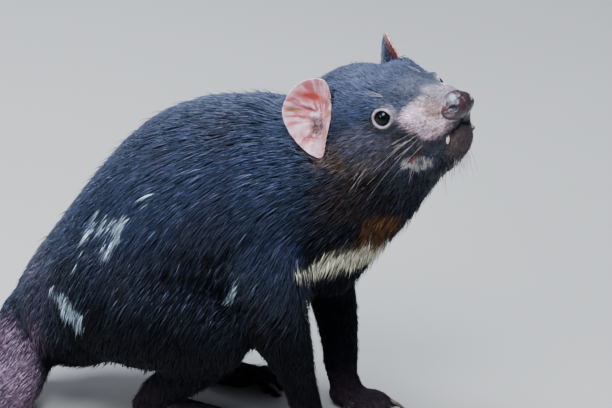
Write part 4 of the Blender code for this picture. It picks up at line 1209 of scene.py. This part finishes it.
class Surface:
    """The skin's points, for following it."""

    def __init__(self, mesh):
        self.co, self.normal = coordinates(mesh), normals_of(mesh)
        self.tree = KDTree(len(self.co))
        for i, place in enumerate(self.co):
            self.tree.insert(place, i)
        self.tree.balance()

    def under(self, points):
        """The places on the skin below points, and its normals there."""
        found = np.array([self.tree.find(point)[1] for point in points])
        normal = self.normal[found]
        height = ((points - self.co[found]) * normal).sum(axis=1)
        return points - normal * height[:, None], normal


def hidden_places(points):
    """Where no hair grows: the eyes' openings, the nose pad, inside the mouth's line and soles."""
    h = moved(points, HEAD.inverted())
    bare = points[:, 2] < 1.2 * MM
    mirror = h * np.array([1, 0, 1]) + np.abs(h) * np.array([0, 1, 0])
    ring, reach, _, out = eye_rim(mirror)
    bare |= (ring < np.minimum(reach - 0.2, 8.6)) & (out > 0)
    bare |= np.linalg.norm((h - np.array([51, 0, -4.7])) / np.array([11.5, 14.5, 11.0]), axis=1) < 1.0
    bare |= (from_mouth(h) < 1.6) | (lip_flesh(mirror) > 0.45)
    return bare | in_ear(h)


def turned_about(vectors, axes, angles):
    """Vectors turned about unit axes square to them."""
    return vectors * np.cos(angles)[:, None] + np.cross(axes, vectors) * np.sin(angles)[:, None]


def laid_along(surface, root, normal, lie, length, rise):
    """The middles of each tuft's three rings and the way up there. It leaves the skin and follows it."""
    centre, up, way = [root - normal * (ROOT_SUNK * MM)], [normal], lie
    at, went = root, 0.0
    for share, height in ((0.45, 0.62), (1.0, 1.0)):
        at, normal_here = surface.under(at + way * (length * (share - went) * MM)[:, None])
        field, _ = coat_at(moved(at, BODY.inverted()), normal_here)
        way = way * 0.55 + field * 0.45
        way = unit(way - normal_here * (way * normal_here).sum(axis=1)[:, None])
        centre.append(at + normal_here * (rise * height * MM)[:, None])
        up.append(normal_here)
        went = share
    for place in centre:
        place[:, 2] = np.maximum(place[:, 2], LOWEST_HAIR * MM)
    return centre, up


def grow_ear_hair(side, ear, rng, guide):
    """Short hair on the back of an ear, towards its rim, and a few stiff hairs in its canal."""
    name = "right" if side < 0 else "left"
    root_place, out, up_axis, face = ear_axes(side)
    turn = np.array(HEAD.to_3x3().normalized())

    def per_area(points, normals):
        h = moved(points, HEAD.inverted())
        share, height = leaf_place(h, side)
        inner = (normals @ turn) @ face > 0
        q = h - root_place
        canal = near(np.stack([q @ out, q @ up_axis, height], axis=1), (-1, -9, 1), (6, 10, 6))
        upper = smooth_step((q @ up_axis), 6, 18)
        behind = 1 - smooth_step(share + 0.1 * upper, 0.84, 1.0)
        return np.where(inner, canal * 0.16, behind)

    root, normal = face_samples(ear, rng, per_area, EAR_TUFTS)
    h = moved(root, HEAD.inverted())
    share, height = leaf_place(h, side)
    q = h - root_place
    radial = np.outer(q @ out + 4, out) + np.outer(q @ up_axis, up_axis) + 0.15 * rng.normal(0, 1, h.shape)
    canal = (normal @ turn) @ face > 0
    lie = unit(radial) @ turn.T
    lie = unit(lie - normal * (lie * normal).sum(axis=1)[:, None])
    count = len(root)
    length = np.where(canal, 5.0, 6.5 - 3.0 * share) * rng.uniform(0.7, 1.3, count)
    rise = np.where(canal, 2.6, 1.1) * rng.uniform(0.5, 1.2, count)
    width = np.where(canal, 0.32, 0.55) * rng.uniform(0.8, 1.2, count)
    centre = [root - normal * (0.25 * MM)]
    for way, height_share in ((0.45, 0.6), (1.0, 1.0)):
        along, over = (length * way * MM)[:, None], (rise * height_share * MM)[:, None]
        centre.append(root + lie * along + normal * over)
    # Black hair mixed at random with the pale frost that stands for painted sheen
    dark = mixed(BLACK_HAIR, FROST_SHEEN_HAIR, rng.random(count) * 0.9)
    speckled = mixed((0.10, 0.05, 0.04), (0.75, 0.66, 0.64), (rng.random(count) < 0.6) * 1.0)
    tone = np.where(canal[:, None], speckled, dark)
    names = np.full(count, "ear_" + name)
    return {
        "centre": centre, "up": [normal] * 3, "width": width, "tone": tone, "uv": places_on(guide, root),
        "name": names, "matt": np.zeros(count, bool),
    }


def grow_coat(skin, guide):
    """All tufts of the body, with a name for the region of each."""
    rng = np.random.default_rng(7)
    surface = Surface(skin.data)

    def per_area(points, normals):
        _, numbers = coat_at(moved(points, BODY.inverted()), normals)
        length, _, width, layers = numbers.T
        return layers / (0.5 * length * width) * ~hidden_places(points)

    root, normal = face_samples(skin.data, rng, per_area, TUFTS)
    keep = ~hidden_places(root)
    root, normal = root[keep], normal[keep]
    body_root = moved(root, BODY.inverted())
    lie, numbers = coat_at(body_root, normal)
    length, depth, width, _ = numbers.T
    count = len(root)
    draw = rng.random(count)
    angle = 0.22 * drift(body_root, 17.0, 61) + 0.16 * drift(body_root, 6.0, 62)
    angle += rng.normal(0, 0.09, count)
    lie = turned_about(lie, normal, angle)
    length = length * rng.uniform(0.7, 1.15, count) * (1 + 0.15 * drift(body_root, 9.0, 63))
    rise = depth * np.clip(0.72 + 0.3 * rng.random(count) + 0.22 * drift(body_root, 8.0, 64), 0.3, 1.3)
    shaded = shaded_share(body_root, normal)
    stray = rng.random(count) < 0.04 + 0.10 * shaded
    rise = rise * np.where(stray, rng.uniform(1.3, 2.0, count), 1.0)
    width = width * rng.uniform(0.75, 1.25, count)
    from_lips = np.minimum(from_mouth(moved(root, HEAD.inverted())) / 7, 1)
    length = length * (0.6 + 0.4 * from_lips)
    centre, up = laid_along(surface, root, normal, lie, length, rise)
    tone = tones(moved(centre[1], BODY.inverted()), up[1], draw)
    on_face = smooth_step(moved(root, HEAD.inverted())[:, 0], -30, 0)
    # Tufts in shade take the less glossy copy of the coat material, as painted shade
    matt = rng.random(count) < shaded * (1 - 0.6 * on_face)
    coat = {
        "centre": centre, "up": up, "width": width, "tone": tone, "uv": places_on(guide, root),
        "name": coat_regions(root), "matt": matt,
    }
    return only_some(coat, ~(through_ear(centre[1]) | through_ear(centre[2])))


def only_some(coat, kept):
    """The coat without the tufts that aren't kept."""
    for key, values in coat.items():
        coat[key] = [place[kept] for place in values] if isinstance(values, list) else values[kept]
    return coat


def tuft_mesh(name, coat, chosen):
    """Tufts with a root triangle, a middle triangle and a tip."""
    root, middle, tip = (place[chosen] for place in coat["centre"])
    up_root, up_middle, _ = (up[chosen] for up in coat["up"])
    width = coat["width"][chosen]
    count = len(root)
    points = np.empty((count, 7, 3))
    for ring, (centre, ahead, up, share) in enumerate(
        ((root, middle - root, up_root, 0.9), (middle, tip - root, up_middle, 0.85))
    ):
        across = unit(np.cross(ahead, up)) * (width * share * 0.5 * MM)[:, None]
        over = up * (width * share * 0.42 * MM)[:, None]
        points[:, ring * 3] = centre - across
        points[:, ring * 3 + 1] = centre + across
        points[:, ring * 3 + 2] = centre + over
    points[:, 6] = tip
    start = (np.arange(count) * 7)[:, None]
    triangles = np.concatenate([start + np.array(t) for t in ((0, 2, 1), (3, 4, 6), (4, 5, 6), (5, 3, 6))])
    quads = np.concatenate([start + np.array(q) for q in ((0, 1, 4, 3), (1, 2, 5, 4), (2, 0, 3, 5))])
    mesh = mesh_of_groups(name, points.reshape(-1, 3), [triangles, quads])
    # Painted shade: each tuft is darker towards its root and a little lighter at its tip, pale hair less so
    shade = np.array([0.45, 0.45, 0.6, 0.9, 0.9, 1.05, 1.15])[None, :]
    pale = smooth_step(coat["tone"][chosen][:, 0], 0.2, 0.6)[:, None]
    shade = shade * (1 - pale) + (0.75 + 0.25 * shade) * pale
    set_colours(mesh, (coat["tone"][chosen][:, None, :] * shade[:, :, None]).reshape(-1, 3))
    spot = np.array([[-1, -1], [1, -1], [0, -0.7], [-1, 0.2], [1, 0.2], [0, 0.3], [0, 1]]) * (0.45 * PATCH)
    uv = (coat["uv"][chosen][:, None, :] + spot[None]).reshape(-1, 2)
    corners = np.empty(len(mesh.loops), np.int32)
    mesh.loops.foreach_get("vertex_index", corners)
    matt = coat["matt"][chosen].astype(np.int32)
    mesh.polygons.foreach_set("material_index", np.concatenate([np.tile(matt, 4), np.tile(matt, 3)]))
    layer = mesh.uv_layers.new(name="OFBake")
    layer.data.foreach_set("uv", uv[corners].astype(np.float32).ravel())
    return mesh


def coat_regions(points):
    """A name for each root's part of the body."""
    body = moved(points, BODY.inverted())
    h = moved(points, HEAD.inverted())
    names = np.where(body[:, 0] < -205, "tail", "flank").astype("<U16")
    names[(body[:, 0] > -205) & (body[:, 2] < 70)] = "legs"
    names[(body[:, 0] > -10) & (body[:, 2] > 70)] = "shoulder"
    names[h[:, 0] > -78] = "neck"
    names[(h[:, 0] > -60) & (h[:, 2] > -75)] = "head"
    names[(h[:, 0] > -2) & (h[:, 2] > -75)] = "face"
    sides = np.where(np.where(h[:, 0] > -78, h[:, 1], body[:, 1]) < 0, "right", "left")
    return np.char.add(np.char.add(names, "_"), sides)


def make_coat(coat, materials):
    names = coat["name"]
    for region in sorted(set(names)):
        members = np.flatnonzero(names == region)
        for part, chosen in enumerate(np.array_split(members, math.ceil(len(members) / MOST_TUFTS_A_PIECE))):
            name = f"coat_{region}_{part + 1}"
            piece = new_object(name, tuft_mesh(name, coat, chosen))
            for material in materials:
                piece.data.materials.append(material)
            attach(piece, "root")


# Nose, eyes, teeth, claws and whiskers


def make_nose(material):
    """The wet pad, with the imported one's nostrils made fine, a groove down its middle and pink rims."""
    shape = bmesh.new()
    shape.from_mesh(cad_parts["nose"].data)
    bmesh.ops.remove_doubles(shape, verts=shape.verts, dist=1e-6)
    mesh = bpy.data.meshes.new("nose_pad")
    shape.to_mesh(mesh)
    shape.free()
    nose = new_object("nose_pad", mesh)
    remesh = nose.modifiers.new("Fine", "REMESH")
    remesh.mode = "VOXEL"
    remesh.voxel_size = 0.42 * MM
    baked(nose)
    mesh = nose.data
    co = coordinates(mesh)
    co = smoothed(co, edges_of(mesh), 9, np.ones(len(co)))
    set_coordinates(mesh, co)
    h = moved(co, HEAD.inverted())
    normal = normals_of(mesh) @ np.array(HEAD.to_3x3().normalized())
    front = smooth_step(h[:, 0], 50, 57) * (1 - smooth_step(h[:, 2], -1, 4))
    groove = -0.9 * np.exp(-((h[:, 1] / 0.9) ** 2)) * front
    lumps = 0.14 * drift(h, 1.8, 71)
    h = h + normal * (groove + lumps + 0.25)[:, None]
    set_coordinates(mesh, moved(h, HEAD))
    mirror = h * np.array([1, 0, 1]) + np.abs(h) * np.array([0, 1, 0])
    tone = mixed((0.024, 0.0085, 0.0095), (0.050, 0.018, 0.018), 0.5 + 0.5 * drift(h, 4.0, 72))
    tone = mixed(tone, (0.22, 0.11, 0.12), near(mirror, (55.5, 13.2, -6.6), (5.5, 3.4, 1.7)) * 0.9)
    tone = mixed(tone, (0.12, 0.030, 0.022), near(mirror, (52, 14.5, -0.5), (5, 4, 2.6)) * 0.8)
    # Painted shade, near black, inside the nostrils
    inside = near(mirror, (56.0, 9.0, -2.9), (4.4, 3.0, 2.6))
    tone = mixed(tone, (0.008, 0.002, 0.002), np.clip(inside * 1.6, 0, 1))
    set_colours(mesh, tone)
    mesh.materials.append(material)
    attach(nose, "root")
    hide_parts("nose")


def make_eye(name, side, material):
    """An eyeball with a low cornea."""
    centre, axis = eye_centre(side), mirrored(EYE_AXIS, side)
    shape = bmesh.new()
    bmesh.ops.create_uvsphere(shape, u_segments=64, v_segments=48, radius=EYE_RADIUS - 0.1)
    mesh = bpy.data.meshes.new(name)
    shape.to_mesh(mesh)
    shape.free()
    co = coordinates(mesh)
    ring = np.hypot(co[:, 0], co[:, 1])
    front = co[:, 2] > 0
    co[:, 2] += np.where(front, 0.55 * np.exp(-((ring / 4.2) ** 2)), 0)
    ring = np.where(front, ring, 9.0)
    tone = mixed((0.001, 0.001, 0.0015), (0.0055, 0.0040, 0.0035), smooth_step(ring, 2.4, 3.6))
    tone = mixed(tone, (0.002, 0.003, 0.003), smooth_step(ring, 4.6, 5.4))
    turn = axis.to_track_quat("Z", "Y").to_matrix().to_4x4()
    set_coordinates(mesh, moved(co, HEAD @ Matrix.Translation(centre) @ turn))
    set_colours(mesh, tone)
    mesh.shade_smooth()
    eye = new_object(name + "_ball", mesh)
    mesh.materials.append(material)
    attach(eye, "root")
    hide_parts(name)


CANINE_TOP = (41.4, 9.6, -23.0)
CANINE_TIP = (42.8, 14.6, -31.2)


def make_tooth(name, side, material):
    top, tip = np.array(mirrored(CANINE_TOP, side)), np.array(mirrored(CANINE_TIP, side))
    share = np.linspace(0, 1, 14)
    path = top + np.outer(share, tip - top)
    path[:, 0] += 0.8 * np.sin(np.pi * share)
    radii = 1.6 * np.sqrt(np.clip(1 - share**2.2, 0, 1)) + 0.12
    points, groups = tube(path, radii, 16)
    mesh = outward(mesh_of_groups(name, moved(points, HEAD), groups))
    set_colours(mesh, np.tile((0.66, 0.60, 0.47), (len(points), 1)))
    mesh.materials.append(material)
    tooth = new_object(name + "_tooth", mesh)
    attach(tooth, "root")
    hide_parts(name)


FOREFOOT_TOES = [(-52, 17), (-24, 25), (-4, 28), (16, 27), (38, 22)]
HINDFOOT_TOES = [(-24, 20), (-6, 24), (12, 24), (30, 20)]


def claw_shapes(centre, heading_deg, toes):
    """Curved claws in front of the toes of one foot, in the body's frame."""
    heading = math.radians(heading_deg)
    forward = np.array([math.cos(heading), math.sin(heading), 0])
    shapes = []
    for turn, length in toes:
        angle = heading + math.radians(turn)
        out = np.array([math.cos(angle), math.sin(angle), 0])
        tip = np.array([*centre, 4.5]) + forward * 2 + out * (8 + length)
        root = tip + out * -2.5 + np.array([0, 0, 2.2])
        point = tip + out * 14.0 - np.array([0, 0, 4.1])
        share = np.linspace(0, 1, 12)
        path = root + np.outer(share, point - root)
        path[:, 2] += 2.0 * np.sin(np.pi * share) ** 0.9
        radii = 2.35 * (1 - share) ** 0.7 + 0.15
        shapes.append(tube(path, radii, 12))
    return shapes


def make_claws(material):
    plans = {"right": (-1, 0, 14, 4), "left": (1, 4, 6, 30)}
    for name, (side, reach, shift, turned_in) in plans.items():
        toes = [(turn * side, length) for turn, length in FOREFOOT_TOES]
        fore = claw_shapes((24 + reach, 36 * side), -turned_in * side, toes)
        heel, toe = (-138 + shift, 38 * side), (-82 + shift, 43 * side)
        heading = math.degrees(math.atan2(toe[1] - heel[1], toe[0] - heel[0]))
        hind = claw_shapes((toe[0] + 2, toe[1]), heading, [(turn * side, n) for turn, n in HINDFOOT_TOES])
        for part, shapes in (("fore", fore), ("hind", hind)):
            mesh = gathered("claws", [(moved(points, BODY), groups) for points, groups in shapes])
            outward(mesh)
            co = coordinates(mesh)
            stain = 0.5 + 0.5 * drift(co / MM, 5.0, 81)
            set_colours(mesh, mixed((0.10, 0.075, 0.06), (0.20, 0.16, 0.13), stain))
            mesh.materials.append(material)
            claws = new_object(f"claws_{part}_{name}", mesh)
            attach(claws, "root")


# Whiskers: (root, way, length, bend) in the head's frame, on both sides

def whisker_plans(rng):
    plans = []
    for row in range(5):
        for column in range(6):
            x = 38 - 4.8 * column + rng.uniform(-1, 1)
            z = -8 - 4.6 * row - 0.5 * column + rng.uniform(-0.8, 0.8)
            way = (-0.60 - 0.10 * column, 0.68, -0.04 - 0.12 * row)
            length = 16 + 12 * column + 5 * row * (column > 2) + rng.uniform(-4, 8)
            plans.append(((x, 24, z), way, length, 0.5, 0.24, row > 1 and column > 1))
    for x, z, length in ((24, -18, 92), (16, -22, 84), (10, -26, 76), (19, -30, 66), (13, -33, 58)):
        plans.append(((x, 24, z), (-1.0, 0.84, -0.34), length, 0.34, 0.26, True))
    for _ in range(9):
        x, z = -18 + rng.uniform(-5, 4), -37 + rng.uniform(-4, 4)
        plans.append(((x, 50, z), (-0.72, 0.35, -0.62), rng.uniform(22, 44), 0.3, 0.3, True))
    for _ in range(5):
        root = (rng.uniform(-8, -2), 22, 11)
        plans.append((root, (-0.75, 0.35, 0.5), rng.uniform(20, 34), 0.8, 0.24, True))
    for _ in range(22):
        x, y = rng.uniform(14, 46), rng.uniform(2, 13)
        way = (rng.uniform(-0.5, 0.1), 0.3, -0.9)
        plans.append(((x, y, -50), way, rng.uniform(8, 22), 0.4, 0.22, True))
    for _ in range(26):
        x = rng.uniform(6, 36)
        way = (-0.6 + rng.uniform(-0.2, 0.2), 0.3, -0.75)
        plans.append(((x, 25, -48 + 0.28 * x), way, rng.uniform(7, 16), 0.4, 0.24, True))
    return plans


def make_whiskers(skin, material):
    rng = np.random.default_rng(11)
    surface = Surface(skin.data)
    for side, name in ((-1, "right"), (1, "left")):
        shapes, tone = [], []
        for root, way, length, bend, radius, may_be_pale in whisker_plans(rng):
            at, _ = surface.under(np.array([HEAD @ mirrored(root, side)]))
            at = np.array(HEAD.inverted() @ Vector(at[0]))
            way = np.array(mirrored(way, side)) + rng.normal(0, 0.09, 3)
            way /= np.linalg.norm(way)
            share = np.linspace(0, 1, 12)
            sag = np.outer(share**2, np.array([-0.5, -0.25 * side, -0.55])) * bend
            path = at - way * 1.0 + (np.outer(share, way) + sag) * length
            radii = 0.5 * radius * (1 - share) ** 0.7 + 0.035
            points, groups = tube(path, radii, 5)
            shapes.append((moved(points, HEAD), groups))
            pale = may_be_pale and rng.random() < 0.55
            colour = (0.46, 0.41, 0.37) if pale else (0.012, 0.010, 0.010)
            tone.append(np.tile(colour, (len(points), 1)))
        mesh = outward(gathered("whiskers", shapes))
        set_colours(mesh, np.concatenate(tone))
        mesh.materials.append(material)
        whiskers = new_object("whiskers_" + name, mesh)
        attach(whiskers, "root")


# Floor, light and camera


def make_floor():
    mesh = bpy.data.meshes.new("floor")
    mesh.from_pydata([(-6, -6, 0), (6, -6, 0), (6, 6, 0), (-6, 6, 0)], [], [(0, 1, 2, 3)])
    floor = new_object("floor", mesh)
    material, tree, shader = new_material("floor", 0.8, 0.3)
    grain = noise_node(tree, 3.0, 2.0)
    ramp = tree.nodes.new("ShaderNodeValToRGB")
    ramp.color_ramp.elements[0].color = (0.34, 0.33, 0.32, 1)
    ramp.color_ramp.elements[1].color = (0.38, 0.37, 0.36, 1)
    tree.links.new(grain.outputs["Fac"], ramp.inputs["Fac"])
    tree.links.new(ramp.outputs["Color"], shader.inputs["Base Color"])
    mesh.materials.append(material)


def area_light(name, place, target, size, power, colour):
    light = bpy.data.lights.new(name, "AREA")
    light.shape = "DISK"
    light.size = size
    light.energy = power
    light.color = colour
    obj = new_object(name, light)
    obj.location = place
    obj.rotation_mode = "QUATERNION"
    obj.rotation_quaternion = (Vector(target) - Vector(place)).to_track_quat("-Z", "Y")


def make_lights():
    world = bpy.data.worlds.new("studio")
    bpy.context.scene.world = world
    world.use_nodes = True
    background = world.node_tree.nodes["Background"]
    background.inputs["Color"].default_value = (0.72, 0.80, 1.0, 1)
    background.inputs["Strength"].default_value = 0.28
    middle = (0.0, 0.0, 0.18)
    area_light("overhead", (-0.5, 0.3, 2.1), middle, 1.4, 98, (0.84, 0.92, 1.0))
    area_light("front_above", (0.42, -0.95, 2.0), middle, 1.0, 54, (0.88, 0.94, 1.0))
    area_light("from_camera_left", (-1.0, -2.0, 1.6), middle, 1.4, 32, (0.90, 0.95, 1.0))
    area_light("from_behind_left", (-2.3, 0.5, 1.1), middle, 1.2, 48, (0.82, 0.88, 1.0))


def make_camera():
    turn = Vector((math.cos(CAMERA_AZIMUTH), math.sin(CAMERA_AZIMUTH), 0))
    back = Vector((
        math.sin(CAMERA_AZIMUTH) * math.cos(CAMERA_ELEVATION),
        -math.cos(CAMERA_AZIMUTH) * math.cos(CAMERA_ELEVATION),
        math.sin(CAMERA_ELEVATION),
    ))
    up = back.cross(turn)
    camera = new_object("camera", bpy.data.cameras.new("camera"))
    camera.data.sensor_width = SENSOR
    camera.data.lens = LENS
    target = BODY @ (CAMERA_TARGET / MM)
    place = target + back * CAMERA_DISTANCE
    camera.matrix_world = Matrix.Translation(place) @ Matrix((turn, up, back)).transposed().to_4x4()
    bpy.context.scene.camera = camera


def main():
    skin = make_skin()
    normals = normals_of(skin.data)
    points = moved(coordinates(skin.data), BODY.inverted())
    guide = unwrap_guide(skin)
    plain = tones(points, normals, np.full(len(points), 0.5))
    # Painted shade: skin under the hair is darkened to 0.8, bare skin keeps its tone
    set_colours(skin.data, plain * np.where(hidden_places(coordinates(skin.data)), 1.0, 0.8)[:, None])
    ears = {side: make_ear(side) for side in (-1, 1)}
    rng = np.random.default_rng(17)
    # A lit copy and a shaded copy of the coat material; the shaded one, with less gloss and no sheen, is
    # painted shade
    hair = [coat_material("coat", 0.5, 0.12), coat_material("coat_in_shade", 0.16, 0.0)]
    make_coat(grow_coat(skin, guide), hair)
    for side, ear in ears.items():
        make_coat(grow_ear_hair(side, ear, rng, guide), hair)
    make_whiskers(skin, whisker_material())
    add_ears(skin, ears)
    skin.data.materials.append(skin_material())
    skin.data.materials.append(ear_material())
    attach(skin, "root")
    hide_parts(*FLESH, "ear_right", "ear_left")
    make_nose(nose_material())
    eyes, teeth = eye_material(), tooth_material()
    for name, side in (("right", -1), ("left", 1)):
        make_eye("eye_" + name, side, eyes)
        make_tooth("canine_" + name, side, teeth)
    make_claws(claw_material())
    make_floor()
    make_lights()
    make_camera()


main()
